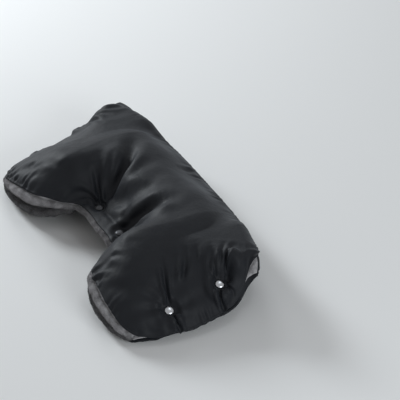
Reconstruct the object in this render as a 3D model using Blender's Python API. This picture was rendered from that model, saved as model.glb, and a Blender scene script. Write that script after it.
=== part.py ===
"""Stroller hand muff: two padded panels sewn along the front and closed round a handlebar by six press studs.

+X is the user's right, +Y points away from the user, +Z is up. The muff lies on its lower panel.
"""
import math

import bmesh
import bpy
import numpy as np

# Overall shape, in metres, measured from the handlebar's level and from the line where its bends end
HALF_WIDTH = 0.254
FRONT_REACH = 0.040
LOBE_REACH = 0.217
WAIST_REACH = 0.148
BAR_HEIGHT = 0.066
CROWN_RISE = 0.034
SEAM_DROP = 0.014
SIDE_DROP = 0.053
LIP_DROP = 0.017
WAIST_DROP = 0.026
CENTRE_LIFT = 0.012
CENTRE_WIDTH = 0.058
FLOOR_CUT = 0.0005

# How far in from each edge a panel keeps curving
SIDE_ROUNDING = 0.135
FRONT_ROUNDING = 0.074
LIP_ROUNDING = 0.072
BASE_ROUNDING = 0.060
BASE_SIDE_ROUNDING = 0.100

# The handlebar that the muff closes round, and the open corner that its arm leaves through
BAR_RADIUS = 0.012
BAR_HALF_SPAN = 0.218
BAR_BEND = 0.058
BAR_BEND_END = 0.008
BAR_COVER_RISE = 0.024
BAR_RIDGE_WIDTH = 0.028
BAR_MARGIN = 0.003
BAR_FRONT_ROUNDING = 0.024
BAR_SIDE_ROUNDING = 0.022
EXIT_RISE = 0.018
EXIT_OPENING = 0.032

# Cloth layers
SHELL_THICKNESS = 0.0012
WADDING_THICKNESS = 0.010
LINING_THICKNESS = 0.0035
PRESSED_WADDING = 0.0008
PRESSED_LINING = 0.0015
PADDING_FADE = 0.055
CLEARANCE = 0.0003
CLOSED_GAP = 0.0006
STEEPEST_SLANT = 1.4
CLOTH_CREASE = math.radians(70)
METAL_CREASE = math.radians(40)
WELD_DISTANCE = 0.00001

# Plush turned out at the hand openings and the waist
LIP_ROLL_HEIGHT = 0.0125
LIP_ROLL_WIDTH = 0.013
LIP_SLIT = 0.0105
BASE_ROLL_HEIGHT = 0.007
WAIST_ROLL_HEIGHT = 0.006
WAIST_ROLL_WIDTH = 0.008
ROLL_SETBACK = 0.003
ROLL_GAP = 0.0008
ROLL_SIDES = 8

# Press studs
CAP_RADIUS = 0.0070
CAP_HEIGHT = 0.0030
SOCKET_RADIUS = 0.0058
SOCKET_HEIGHT = 0.0034
SOCKET_FLANGE = 0.0009
BARREL_RADIUS = 0.0043
CAVITY_RADIUS = 0.0029
RIVET_RADIUS = 0.0017
RIVET_FLARE = 0.0023
FLARE_THICKNESS = 0.0003
STUD_RADIUS = 0.0058
STUD_PLATE = 0.0010
NUB_RADIUS = 0.0025
NUB_HEIGHT = 0.0019
PIN_RADIUS = 0.0011
BACK_RADIUS = 0.0055
BACK_THICKNESS = 0.0010
SNAP_FACETS = 16
CAP_DOME_SHARES = ((0.0, 1.0), (0.55, 0.90), (0.86, 0.60), (1.0, 0.22), (0.96, 0.0))
NUB_SHARES = ((0.94, 0.0), (0.88, 0.4), (1.0, 0.75), (0.88, 1.0))
STUD_EDGE_SHARES = ((0.96, -1.0), (1.0, -0.7), (1.0, -0.2), (0.9, 0.0))
BACK_EDGE_SHARES = ((0.95, 0.0), (1.0, -0.4), (0.9, -1.0))
SOCKET_EDGE_SHARES = ((0.96, 0.0), (1.0, -0.3), (1.0, -1.0))
BARREL_SHOULDER_SHARE = 1.3
PIN_END_SHARE = 0.9
SEAT_MARGIN = 0.0022
SEAT_FACETS = 8
SIDE_SNAP_TILT = math.radians(25)
FRONT_TUCK_REACH = 0.028
REAR_TUCK_REACH = 0.042
WAIST_TUCK_REACH = 0.074
FRONT_SNAP_DROP = 0.014
REAR_SNAP_DROP = 0.031
WAIST_SNAP_DROP = 0.022

# How far the cover folds open, and how far its fold line lies in front of the seam
COVER_TRAVEL = math.radians(110)
FOLD_MARGIN = 0.001

# How sharply each edge curves over, as powers, and how much thinner the padding is over the handlebar
SIDE_CURVE = 1.4
FRONT_CURVE = 2.6
LIP_CURVE = 2.4
BASE_SIDE_CURVE = 1.4
BASE_FRONT_CURVE = 2.2
BASE_LIP_CURVE = 1.6
PADDING_CURVE = 1.3
TUCK_CURVE = 1.3
CORNER_CURVE = 4
BAR_CURVE = 2
BAR_PRESS_SHARE = 0.6

# Outline of the right half: shares of the half width, and of the reach that the stretch follows
FRONT_OUTLINE_SHARES = ((0.0, 1.0), (0.24, 1.0), (0.47, 0.93), (0.65, 0.78), (0.79, 0.50), (0.89, 0.10))
SIDE_OUTLINE_SHARES = ((0.905, -0.055), (0.939, -0.12), (0.969, -0.185), (0.985, -0.26), (0.992, -0.36),
                       (0.992, -0.48), (0.98, -0.61), (0.957, -0.745), (0.905, -0.885))
BACK_OUTLINE_SHARES = ((0.25, -0.71), (0.323, -0.83), (0.417, -0.95), (0.55, -0.995), (0.69, -1.0),
                       (0.815, -0.968))
WAIST_HALF_SHARE = 0.157

# Edge levels: how far along the edge, then the share of the drop or climb reached there
EXIT_FRONT_SHARES = ((0.0, 0.0), (0.80, 0.0), (0.87, 0.35), (0.93, 0.90), (1.0, 1.0))
EXIT_LEVEL_SHARES = ((0.0, 0.0), (0.60, 0.0), (0.75, 0.08), (0.85, 0.30), (0.93, 0.85), (1.0, 1.0))
EXIT_SIDE_SHARES = ((0.0, 0.0), (0.74, 0.0), (0.84, 0.30), (0.90, 0.62), (0.95, 0.92), (1.0, 1.0))
SIDE_DROP_SHARES = ((0.0, 0.92), (0.12, 1.0), (0.25, 1.0), (0.37, 0.94), (0.50, 0.86), (0.62, 0.76),
                    (0.75, 0.62), (1.0, 0.40))
WAIST_LEVEL_SHARES = ((0.0, 1.0), (0.20, 0.92), (0.32, 0.33), (0.45, 0.0), (1.0, 0.0))
CORNER_LEVEL_SHARES = ((0.0, 0.0), (0.45, 0.0), (0.60, 0.03), (0.75, 0.28), (0.88, 0.66), (1.0, 1.0))
LIP_OPENING_SHARES = ((0.0, 0.0), (0.26, 0.0), (0.30, 0.30), (0.40, 0.80), (0.50, 1.0), (0.65, 1.0),
                      (0.80, 0.75), (0.90, 0.42), (1.0, 0.14))
WAIST_CLOSING_SHARES = ((0.0, 1.0), (0.26, 1.0), (0.30, 0.0), (1.0, 0.0))
LIP_ROLL_SPAN_SHARES = (0.31, 0.955)
WAIST_ROLL_SPAN_SHARES = (-0.255, 0.255)
LIP_ROLL_STEPS = 12
WAIST_ROLL_STEPS = 10

# Places of the press studs and of the mesh lines, as shares of the way across and from back to front
RIM_SHARE = 0.015
SIDE_SNAP_ACROSS_SHARE = 0.88
FRONT_SNAP_DEEP_SHARE = 0.66
REAR_SNAP_DEEP_SHARE = 0.32
WAIST_SNAP_ACROSS_SHARE = 0.133
WAIST_SNAP_DEEP_SHARE = 0.12
ACROSS_LINE_SHARES = (0.0, 0.06, WAIST_SNAP_ACROSS_SHARE, 0.21, 0.32, 0.44, 0.57, 0.69, 0.79,
                      SIDE_SNAP_ACROSS_SHARE, 0.94, 1 - RIM_SHARE)
DEEP_LINE_SHARES = (RIM_SHARE, WAIST_SNAP_DEEP_SHARE, 0.20, REAR_SNAP_DEEP_SHARE, 0.43, 0.55,
                    FRONT_SNAP_DEEP_SHARE, 0.77, 0.88, 1 - RIM_SHARE)
CURVE_SAMPLES = 400
SLOPE_STEP_SHARE = 0.01

PRESSED_PANEL = SHELL_THICKNESS + PRESSED_WADDING + PRESSED_LINING + 2 * CLEARANCE
SEAT_RADIUS = CAP_RADIUS + SEAT_MARGIN
FLOOR = -BAR_HEIGHT
ROLL_OVERHANG = LIP_ROLL_WIDTH / 2 - ROLL_SETBACK
FRAME_SHIFT = np.array((0, (LOBE_REACH + ROLL_OVERHANG - FRONT_REACH) / 2, BAR_HEIGHT))


# Outline and plan of the panels


def smooth_curve(points):
    """Return a function that gives places along a smooth curve through the points, by share of its length."""
    points = np.asarray(points, float)
    chord = np.r_[0, np.cumsum(np.linalg.norm(np.diff(points, axis=0), axis=1))]
    slope = np.gradient(points, chord, axis=0)
    place = np.linspace(0, chord[-1], CURVE_SAMPLES)
    part = np.clip(np.searchsorted(chord, place, side="right") - 1, 0, len(chord) - 2)
    step = (chord[part + 1] - chord[part])[:, None]
    t = (place - chord[part])[:, None] / step
    path = (2 * t**3 - 3 * t**2 + 1) * points[part] + (t**3 - 2 * t**2 + t) * step * slope[part]
    path += (3 * t**2 - 2 * t**3) * points[part + 1] + (t**3 - t**2) * step * slope[part + 1]
    share = place / chord[-1]

    def at(where):
        return np.stack([np.interp(where, share, path[:, axis]) for axis in (0, 1)], -1)

    return at


def outline_curves():
    """Right half's front edge, side edge (back to front) and back edge."""
    front = [(x * HALF_WIDTH, y * FRONT_REACH) for x, y in FRONT_OUTLINE_SHARES]
    side = [(x * HALF_WIDTH, y * LOBE_REACH) for x, y in SIDE_OUTLINE_SHARES]
    waist = [(0.0, -WAIST_REACH), (WAIST_HALF_SHARE * HALF_WIDTH, -WAIST_REACH)]
    back = waist + [(x * HALF_WIDTH, y * LOBE_REACH) for x, y in BACK_OUTLINE_SHARES]
    return smooth_curve(front), smooth_curve(side[::-1] + [front[-1]]), smooth_curve(back + [side[-1]])


FRONT_EDGE, SIDE_EDGE, BACK_EDGE = outline_curves()


def mirrored(edge, across):
    """Place on an edge that runs over both halves."""
    place = edge(np.abs(across))
    place[..., 0] *= np.where(across < 0, -1, 1)
    return place


def plan(across, deep):
    """Place on the floor plan for -1 to 1 across and 0 to 1 from back to front."""
    across = np.asarray(across, float)
    deep = np.asarray(deep, float)
    right = SIDE_EDGE(deep)
    left = right * (-1, 1)
    t = ((across + 1) / 2)[..., None]
    v = deep[..., None]
    ends = np.ones_like(across)
    corners = (1 - t) * (1 - v) * mirrored(BACK_EDGE, -ends) + t * (1 - v) * mirrored(BACK_EDGE, ends)
    corners += (1 - t) * v * mirrored(FRONT_EDGE, -ends) + t * v * mirrored(FRONT_EDGE, ends)
    between = (1 - v) * mirrored(BACK_EDGE, across) + v * mirrored(FRONT_EDGE, across)
    return between + (1 - t) * left + t * right - corners


def smooth_step(t):
    """Climb softly from 0 to 1."""
    t = np.clip(t, 0, 1)
    return t * t * (3 - 2 * t)


def table(shares, where):
    """Read a table of shares."""
    places, values = zip(*shares)
    return np.interp(where, places, values)


# Press stud seats


def snap_seats():
    """Each press stud's name, place across and deep, drop below the bar's axis, tilt and tuck reach."""
    seats = []
    for side, name in ((-1, "left"), (1, "right")):
        outer = side * SIDE_SNAP_ACROSS_SHARE
        inner = side * WAIST_SNAP_ACROSS_SHARE
        tilt = side * SIDE_SNAP_TILT
        seats.append(("front_" + name, outer, FRONT_SNAP_DEEP_SHARE, FRONT_SNAP_DROP, tilt, FRONT_TUCK_REACH))
        seats.append(("rear_" + name, outer, REAR_SNAP_DEEP_SHARE, REAR_SNAP_DROP, tilt, REAR_TUCK_REACH))
        seats.append(("waist_" + name, inner, WAIST_SNAP_DEEP_SHARE, WAIST_SNAP_DROP, 0, WAIST_TUCK_REACH))
    return seats


SEATS = snap_seats()
STACK_TO_BASE = PRESSED_PANEL + SOCKET_HEIGHT + STUD_PLATE + 3 * CLEARANCE


def seat_point(seat, depth):
    """Point on a press stud's axis, at a depth below the cover's outer face, and the axis itself."""
    x, y = plan(np.array(seat[1]), np.array(seat[2]))
    axis = np.array((math.sin(seat[4]), 0.0, math.cos(seat[4])))
    return np.array((x, y, -seat[3])) - depth * axis, axis


def seat_plane(seat, depth, place):
    """Height of the press stud's flat seat over a place on the plan."""
    point, axis = seat_point(seat, depth)
    return point[2] - (place[..., 0] - point[0]) * axis[0] / axis[2]


def seat_pull(seat, depth, place):
    """How strongly a press stud pulls the cloth to its seat: 1 on the seat, 0 outside its tuck."""
    point, _ = seat_point(seat, depth)
    distance = np.hypot(place[..., 0] - point[0], place[..., 1] - point[1])
    t = (distance - SEAT_RADIUS) / (seat[5] - SEAT_RADIUS)
    return (1 - smooth_step(t)) ** TUCK_CURVE


def pull_to_seats(height, place, depth):
    """Draw a height field down, or up, to every press stud's seat."""
    for seat in SEATS:
        pull = seat_pull(seat, depth, place)
        height = height * (1 - pull) + seat_plane(seat, depth, place) * pull
    return height


# Height of the cover and of the base


def ease(distance, reach, power):
    """Rise from 0 at an edge to 1 at the reach, steepest at the edge."""
    return 1 - (1 - np.clip(distance / reach, 0, 1)) ** power


def edge_distances(across, deep):
    """Distance in from the side, the front and the back edge."""
    reach = LOBE_REACH - (LOBE_REACH - WAIST_REACH) * np.exp(-((across / (2 * WAIST_HALF_SHARE)) ** 2))
    return (1 - np.abs(across)) * HALF_WIDTH, (1 - deep) * reach, deep * reach


def edge_blend(across, deep, front, back, side, front_corner, back_corner):
    """Spread the levels of the edges over the panel."""
    corners = (1 - deep) * back_corner + deep * front_corner
    return (1 - deep) * back + deep * front + side - corners


def cover_edge_level(across, deep):
    """Level of the cover's edge, spread over the panel."""
    span = np.abs(across)
    front = -SEAM_DROP + (SEAM_DROP + EXIT_RISE) * table(EXIT_LEVEL_SHARES, span)
    arch = table(EXIT_SIDE_SHARES, deep)
    side = EXIT_RISE * arch - SIDE_DROP * table(SIDE_DROP_SHARES, deep) * (1 - arch)
    back_corner = -SIDE_DROP * SIDE_DROP_SHARES[0][1]
    back = -LIP_DROP - (WAIST_DROP - LIP_DROP) * table(WAIST_LEVEL_SHARES, span)
    back += (back_corner + LIP_DROP) * table(CORNER_LEVEL_SHARES, span)
    return edge_blend(across, deep, front, back, side, EXIT_RISE, back_corner)


def past_bar(place):
    """Distance on the plan out from the handlebar, which is straight, then bends forward into its arms."""
    x = np.abs(place[..., 0]) - (BAR_HALF_SPAN - BAR_BEND)
    y = place[..., 1] - BAR_BEND_END
    bend = np.hypot(np.maximum(x, 0), y) - BAR_BEND
    return np.maximum(np.where(y < 0, bend, x - BAR_BEND), 0)


def near_bar(place):
    """How closely the cloth follows the bar's bends and arms: 1 over and between them, 0 well outside."""
    bend_start = BAR_HALF_SPAN - BAR_BEND
    follow = np.exp(-((past_bar(place) / BAR_RIDGE_WIDTH) ** 2))
    return follow * smooth_step((np.abs(place[..., 0]) - bend_start + BAR_BEND) / BAR_BEND)


def cover_top(across, deep):
    """Height of the cover's outer face."""
    place = plan(across, deep)
    from_side, from_front, from_back = edge_distances(across, deep)
    rise = ease(from_side, SIDE_ROUNDING, SIDE_CURVE) * ease(from_front, FRONT_ROUNDING, FRONT_CURVE)
    rise = rise * ease(from_back, LIP_ROUNDING, LIP_CURVE)
    edge = cover_edge_level(across, deep)
    height = edge + (CROWN_RISE - edge) * rise
    lift = near_bar(place) * ease(from_front, BAR_FRONT_ROUNDING, BAR_CURVE)
    lift = lift * ease(from_side, BAR_SIDE_ROUNDING, BAR_CURVE)
    height = height + np.maximum(BAR_COVER_RISE - height, 0) * lift
    return pull_to_seats(height, place, 0.0)


def slant(height, across, deep):
    """Length of a slanted layer's vertical cut, for one unit of its thickness."""
    step = SLOPE_STEP_SHARE
    sides = []
    for du, dv in ((step, 0), (0, step)):
        low = (np.clip(across - du, -1, 1), np.clip(deep - dv, 0, 1))
        high = (np.clip(across + du, -1, 1), np.clip(deep + dv, 0, 1))
        run = plan(*high) - plan(*low)
        rise = height(*high) - height(*low)
        sides.append(np.concatenate([run, rise[..., None]], -1))
    normal = np.cross(sides[0], sides[1])
    return np.minimum(np.linalg.norm(normal, axis=-1) / np.abs(normal[..., 2]), STEEPEST_SLANT)


def padding(across, deep, depth):
    """Share of the full padding: 1 in the open panel, less over the bar, 0 at the edges and on the seats."""
    full = np.ones_like(across)
    for distance in edge_distances(across, deep):
        full = full * ease(distance, PADDING_FADE, PADDING_CURVE)
    place = plan(across, deep)
    full = full * (1 - BAR_PRESS_SHARE * near_bar(place))
    for seat in SEATS:
        full = full * (1 - seat_pull(seat, depth, place))
    return full


def layer_depths(full):
    """Depths of the six faces of shell, wadding and lining below the shell's outer face."""
    wadding = PRESSED_WADDING + (WADDING_THICKNESS - PRESSED_WADDING) * full
    lining = PRESSED_LINING + (LINING_THICKNESS - PRESSED_LINING) * full
    even = np.ones_like(full)
    steps = [0 * even, SHELL_THICKNESS * even, CLEARANCE * even, wadding, CLEARANCE * even, lining]
    return np.cumsum(steps, axis=0)


def lip_opening(across):
    """How far the cover's and the base's edges stand apart along the back."""
    share = table(LIP_OPENING_SHARES, np.abs(across))
    waist = (WAIST_ROLL_HEIGHT + 2 * ROLL_GAP) * table(WAIST_CLOSING_SHARES, np.abs(across))
    return CLOSED_GAP + waist + share * (LIP_ROLL_HEIGHT + LIP_SLIT + BASE_ROLL_HEIGHT + 2 * ROLL_GAP)


def edge_opening(across, deep):
    """How far the cover's and the base's edges stand apart, spread over the panel."""
    front = CLOSED_GAP + EXIT_OPENING * table(EXIT_FRONT_SHARES, np.abs(across))
    side = CLOSED_GAP + EXIT_OPENING * table(EXIT_SIDE_SHARES, deep)
    back_corner = lip_opening(np.ones_like(across))
    from_corner = deep * LOBE_REACH / PADDING_FADE
    side = side + (back_corner - CLOSED_GAP) * (1 - ease(from_corner, 1, CORNER_CURVE))
    back = lip_opening(across)
    front_corner = CLOSED_GAP + EXIT_OPENING
    return edge_blend(across, deep, front, back, side, front_corner, back_corner)


def cover_bottom(across, deep):
    """Height of the cover's lining face."""
    depth = layer_depths(padding(across, deep, 0.0))[-1]
    return cover_top(across, deep) - depth * slant(cover_top, across, deep)


def base_top(across, deep):
    """Height of the base's lining face."""
    place = plan(across, deep)
    from_side, from_front, from_back = edge_distances(across, deep)
    sag = ease(from_side, BASE_SIDE_ROUNDING, BASE_SIDE_CURVE)
    sag = sag * ease(from_front, BASE_ROUNDING, BASE_FRONT_CURVE)
    sag = sag * ease(from_back, BASE_ROUNDING, BASE_LIP_CURVE)
    under = cover_bottom(across, deep)
    lift = CENTRE_LIFT * np.exp(-((place[..., 0] / CENTRE_WIDTH) ** 2))
    thickness = layer_depths(padding(across, deep, STACK_TO_BASE))[-1]
    bed = FLOOR - FLOOR_CUT + lift + thickness
    height = (under - edge_opening(across, deep)) * (1 - sag) + bed * sag
    height = height - np.maximum(height + BAR_RADIUS + BAR_MARGIN, 0) * near_bar(place)
    height = pull_to_seats(height, place, STACK_TO_BASE)
    return np.minimum(height, under - CLOSED_GAP)


# Plan meshes with a flat round seat at each press stud


class PlanMesh:
    """Points and faces of a panel seen from above, with a seat at each press stud."""

    def __init__(self, across_lines, deep_lines, depth, hole):
        self.uv = []
        self.place = []
        self.seat = []
        self.faces = []
        lines = {}
        for i, u in enumerate(across_lines):
            for j, v in enumerate(deep_lines):
                lines[i, j] = self.add((u, v), plan(np.array(u), np.array(v)), -1)
        taken = {}
        for number, seat in enumerate(SEATS):
            i = int(np.argmin(np.abs(across_lines - seat[1])))
            j = int(np.argmin(np.abs(deep_lines - seat[2])))
            taken.update({(i - a, j - b): number for a in (0, 1) for b in (0, 1)})
            around = [(1, 0), (1, 1), (0, 1), (-1, 1), (-1, 0), (-1, -1), (0, -1), (1, -1)]
            outer = [lines[i + a, j + b] for a, b in around]
            ring = self.add_ring(number, depth, SEAT_RADIUS)
            self.join(outer, ring)
            if hole:
                self.join(ring, self.add_ring(number, depth, hole))
        for i in range(len(across_lines) - 1):
            for j in range(len(deep_lines) - 1):
                if (i, j) not in taken:
                    self.faces.append((lines[i, j], lines[i + 1, j], lines[i + 1, j + 1], lines[i, j + 1]))
        self.uv = np.array(self.uv, float)
        self.place = np.array(self.place, float)
        self.seat = np.array(self.seat)
        self.faces = [triangle for face in self.faces for triangle in self.halves(face)]

    def add(self, uv, place, seat):
        self.uv.append(uv)
        self.place.append(tuple(place))
        self.seat.append(seat)
        return len(self.place) - 1

    def add_ring(self, number, depth, radius):
        """Ring of points round a press stud, flat on its seat."""
        centre, axis = seat_point(SEATS[number], depth)
        ring = []
        for step in range(SEAT_FACETS):
            turn = 2 * math.pi * step / SEAT_FACETS
            x = centre[0] + radius * axis[2] * math.cos(turn)
            ring.append(self.add(SEATS[number][1:3], (x, centre[1] + radius * math.sin(turn)), number))
        return ring

    def join(self, outer, inner):
        """Faces between two rings of equal count."""
        for step in range(len(outer)):
            after = (step + 1) % len(outer)
            self.faces.append((outer[step], outer[after], inner[after], inner[step]))

    def halves(self, face):
        """Split a face along its shorter diagonal on the plan, so that every layer is split alike."""
        a, b, c, d = face
        if np.linalg.norm(self.place[a] - self.place[c]) < np.linalg.norm(self.place[b] - self.place[d]):
            return (a, b, c), (a, c, d)
        return (a, b, d), (b, c, d)

    def flatten_seats(self, height, depth):
        """Lay the points of each seat flat, at a depth on its press stud's axis."""
        for number, seat in enumerate(SEATS):
            own = self.seat == number
            height[own] = seat_plane(seat, depth, self.place[own])
        return height

    def rim(self):
        """True for the points on the panel's outer edge."""
        u, v = self.uv.T
        return (np.abs(u) > 1 - RIM_SHARE / 2) | (v < RIM_SHARE / 2) | (v > 1 - RIM_SHARE / 2)


def new_object(name, mesh, material, parent, crease):
    """Put a mesh in the scene as one sub-part, shaded smooth but for edges sharper than the crease angle."""
    for polygon in mesh.polygons:
        polygon.use_smooth = True
    mesh.set_sharp_from_angle(angle=crease)
    mesh.materials.append(material)
    piece = bpy.data.objects.new(name, mesh)
    bpy.context.collection.objects.link(piece)
    piece.parent = parent
    return piece


def sheet_solid(name, flat, heights, material, parent, origin):
    """Closed solid between two height fields, upper and lower, over one plan mesh."""
    top, bottom = heights
    count = len(flat.place)
    points = [(*xy, z) for xy, z in zip(flat.place, top)] + [(*xy, z) for xy, z in zip(flat.place, bottom)]
    points = [tuple(np.array(point) + FRAME_SHIFT - origin) for point in points]
    faces = list(flat.faces) + [tuple(count + k for k in reversed(face)) for face in flat.faces]
    edges = {(face[k - 1], face[k]) for face in flat.faces for k in range(len(face))}
    for a, b in sorted(edges):
        if (b, a) not in edges:
            faces.append((count + a, count + b, b, a))
    used = sorted({k for face in faces for k in face})
    renumber = {old: new for new, old in enumerate(used)}
    mesh = bpy.data.meshes.new(name)
    mesh.from_pydata([points[k] for k in used], [], [[renumber[k] for k in face] for face in faces])
    mesh.validate()
    return new_object(name, mesh, material, parent, CLOTH_CREASE)


# Cloth panels


def mirrored_lines(half_lines):
    """Mesh lines over both halves, from the right half's."""
    return np.array([-u for u in reversed(half_lines[1:])] + list(half_lines))


def panel_plans(depth):
    """Plan meshes of the shell (with its rim), the wadding and the lining."""
    across = mirrored_lines(ACROSS_LINE_SHARES)
    deep = np.array(DEEP_LINE_SHARES)
    reach = RIVET_RADIUS + CLEARANCE + PRESSED_PANEL * math.sin(SIDE_SNAP_TILT)
    hole = reach / math.cos(SIDE_SNAP_TILT) / math.cos(math.pi / SEAT_FACETS)
    shell = PlanMesh(np.r_[-1, across, 1], np.r_[0, deep, 1], depth, hole)
    return shell, PlanMesh(across, deep, depth, None), PlanMesh(across, deep, depth, hole)


def build_cover(materials, parent, origin):
    """Shell, wadding and lining of the upper panel."""

    def face(flat, number):
        across, deep = flat.uv.T
        depth = layer_depths(padding(across, deep, 0.0))[number]
        height = cover_top(across, deep) - depth * slant(cover_top, across, deep)
        return flat.flatten_seats(height, layer_depths(np.zeros(1))[number, 0])

    shell, wadding, lining = panel_plans(PRESSED_PANEL / 2)
    under = np.where(shell.rim(), face(shell, 5), face(shell, 1))
    middle = (face(wadding, 2), face(wadding, 3))
    inside = (face(lining, 4), face(lining, 5))
    sheet_solid("cover_shell", shell, (face(shell, 0), under), materials["shell"], parent, origin)
    sheet_solid("cover_wadding", wadding, middle, materials["wadding"], parent, origin)
    sheet_solid("cover_lining", lining, inside, materials["plush"], parent, origin)


def build_base(materials, parent, origin):
    """Lining, wadding and shell of the lower panel."""

    def face(flat, number):
        across, deep = flat.uv.T
        upward = layer_depths(padding(across, deep, STACK_TO_BASE))
        top = base_top(across, deep)
        room = (top - FLOOR + FLOOR_CUT) / upward[-1]
        height = top - (upward[-1] - upward[number]) * np.minimum(slant(base_top, across, deep), room)
        pressed = layer_depths(np.zeros(1))[:, 0]
        height = flat.flatten_seats(height, STACK_TO_BASE + pressed[-1] - pressed[number])
        return np.maximum(height, FLOOR)

    shell, wadding, lining = panel_plans(STACK_TO_BASE + PRESSED_PANEL / 2)
    over = np.where(shell.rim(), face(shell, 5), face(shell, 1))
    middle = (face(wadding, 3), face(wadding, 2))
    inside = (face(lining, 5), face(lining, 4))
    sheet_solid("base_shell", shell, (over, face(shell, 0)), materials["shell"], parent, origin)
    sheet_solid("base_wadding", wadding, middle, materials["wadding"], parent, origin)
    sheet_solid("base_lining", lining, inside, materials["plush"], parent, origin)


# Plush rolls at the openings


def roll_solid(name, centres, half_widths, half_heights, material, parent, origin):
    """Tube of oval cross-section along a path of centres, closed by flat ends."""
    mesh = bmesh.new()
    along = np.gradient(np.asarray(centres), axis=0)
    rings = []
    for centre, direction, wide, high in zip(centres, along, half_widths, half_heights):
        outward = np.array((direction[1], -direction[0], 0.0))
        outward /= np.linalg.norm(outward)
        ring = []
        for step in range(ROLL_SIDES):
            turn = 2 * math.pi * step / ROLL_SIDES
            point = centre + outward * wide * math.cos(turn) + np.array((0, 0, high * math.sin(turn)))
            ring.append(mesh.verts.new(point + FRAME_SHIFT - origin))
        rings.append(ring)
    for first, second in zip(rings, rings[1:]):
        for step in range(ROLL_SIDES):
            after = (step + 1) % ROLL_SIDES
            mesh.faces.new((first[step], first[after], second[after], second[step]))
    mesh.faces.new(rings[0])
    mesh.faces.new(rings[-1][::-1])
    bmesh.ops.recalc_face_normals(mesh, faces=mesh.faces)
    data = bpy.data.meshes.new(name)
    mesh.to_mesh(data)
    mesh.free()
    return new_object(name, data, material, parent, CLOTH_CREASE)


def roll_line(across, wide):
    """Plan of a roll's centre line along the back edge, and the clear levels above and below it."""
    edge = plan(across, np.zeros_like(across))
    inward = plan(across, np.full_like(across, RIM_SHARE)) - edge
    inward /= np.linalg.norm(inward, axis=-1)[:, None]
    shares = [(u, v) for u in (-1, 0, 1) for v in (0, 0.5, 1)]
    near = [(across + u * SLOPE_STEP_SHARE, v * (ROLL_SETBACK + wide) / LOBE_REACH) for u, v in shares]
    ceiling = np.min([cover_bottom(*where) for where in near], axis=0) - ROLL_GAP
    ground = np.max([base_top(*where) for where in near], axis=0) + ROLL_GAP
    return edge + ROLL_SETBACK * inward, ceiling, ground


def build_rolls(materials, cover_parent, cover_origin, base_parent):
    """Plush rolled out under the cover's lips and waist, and over the base's lips."""
    plush = materials["plush"]
    waist = np.linspace(*WAIST_ROLL_SPAN_SHARES, WAIST_ROLL_STEPS + 1)
    wide = np.full_like(waist, WAIST_ROLL_WIDTH / 2)
    line, ceiling, ground = roll_line(waist, wide)
    half = np.minimum(WAIST_ROLL_HEIGHT, ceiling - ground) / 2
    centres = np.c_[line, ceiling - half]
    roll_solid("waist_roll", centres, wide, half, plush, cover_parent, cover_origin)
    for side, word in ((-1, "left"), (1, "right")):
        across = side * np.linspace(*LIP_ROLL_SPAN_SHARES, LIP_ROLL_STEPS + 1)
        share = table(LIP_OPENING_SHARES, np.abs(across))
        wide = LIP_ROLL_WIDTH / 2 * (1 + share) / 2
        line, ceiling, ground = roll_line(across, wide)
        slit = share * LIP_SLIT
        room = (ceiling - ground - slit) / (LIP_ROLL_HEIGHT + BASE_ROLL_HEIGHT)
        half = np.minimum(share, room) * LIP_ROLL_HEIGHT / 2
        centres = np.c_[line, ceiling - half]
        roll_solid("cover_lip_roll_" + word, centres, wide, half, plush, cover_parent, cover_origin)
        half = half * BASE_ROLL_HEIGHT / LIP_ROLL_HEIGHT
        centres = np.c_[line, ground + half]
        roll_solid("base_lip_roll_" + word, centres, wide, half, plush, base_parent, np.zeros(3))


# Press studs


def turned_solid(name, profile, material, parent, place, tilt):
    """Round piece from a closed profile of radius and height, turned about its own Z."""
    mesh = bmesh.new()
    points = [mesh.verts.new((radius, 0, height)) for radius, height in profile]
    edges = [mesh.edges.new((points[k - 1], points[k])) for k in range(1, len(points))]
    if profile[0][0] > 0:
        edges.append(mesh.edges.new((points[-1], points[0])))
    bmesh.ops.spin(mesh, geom=points + edges, cent=(0, 0, 0), axis=(0, 0, 1), angle=2 * math.pi,
                   steps=SNAP_FACETS, use_merge=True, use_duplicate=False)
    bmesh.ops.remove_doubles(mesh, verts=mesh.verts, dist=WELD_DISTANCE)
    bmesh.ops.recalc_face_normals(mesh, faces=mesh.faces)
    data = bpy.data.meshes.new(name)
    mesh.to_mesh(data)
    mesh.free()
    piece = new_object(name, data, material, parent, METAL_CREASE)
    piece.location = place
    piece.rotation_euler = (0, tilt, 0)
    return piece


def scaled(shares, radius, height):
    """Profile points from a table of shares of a radius and a height."""
    return [(x * radius, z * height) for x, z in shares]


def cap_profile():
    """Domed cap with the rivet that grips the socket through the cover."""
    reach = PRESSED_PANEL + SOCKET_FLANGE + 3 * CLEARANCE
    rivet = [(RIVET_RADIUS, 0), (RIVET_RADIUS, -reach), (RIVET_FLARE, -reach)]
    end = [(RIVET_RADIUS, -reach - FLARE_THICKNESS), (0, -reach - FLARE_THICKNESS)]
    return scaled(CAP_DOME_SHARES, CAP_RADIUS, CAP_HEIGHT) + rivet + end


def socket_profile():
    """Flanged ring with the cavity that the stud clicks into."""
    bore = RIVET_RADIUS + CLEARANCE
    barrel = [(BARREL_RADIUS, -BARREL_SHOULDER_SHARE * SOCKET_FLANGE), (BARREL_RADIUS, -SOCKET_HEIGHT)]
    cavity = [(CAVITY_RADIUS, -SOCKET_HEIGHT), (CAVITY_RADIUS, -SOCKET_FLANGE), (bore, -SOCKET_FLANGE)]
    return [(bore, 0)] + scaled(SOCKET_EDGE_SHARES, SOCKET_RADIUS, SOCKET_FLANGE) + barrel + cavity


def stud_profile():
    """Plate with the hollow nub, wider near its top, that the socket grips."""
    bore = PIN_RADIUS + CLEARANCE
    plate = [(bore, -STUD_PLATE)] + scaled(STUD_EDGE_SHARES, STUD_RADIUS, STUD_PLATE)
    return plate + scaled(NUB_SHARES, NUB_RADIUS, NUB_HEIGHT) + [(bore, NUB_HEIGHT)]


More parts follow.
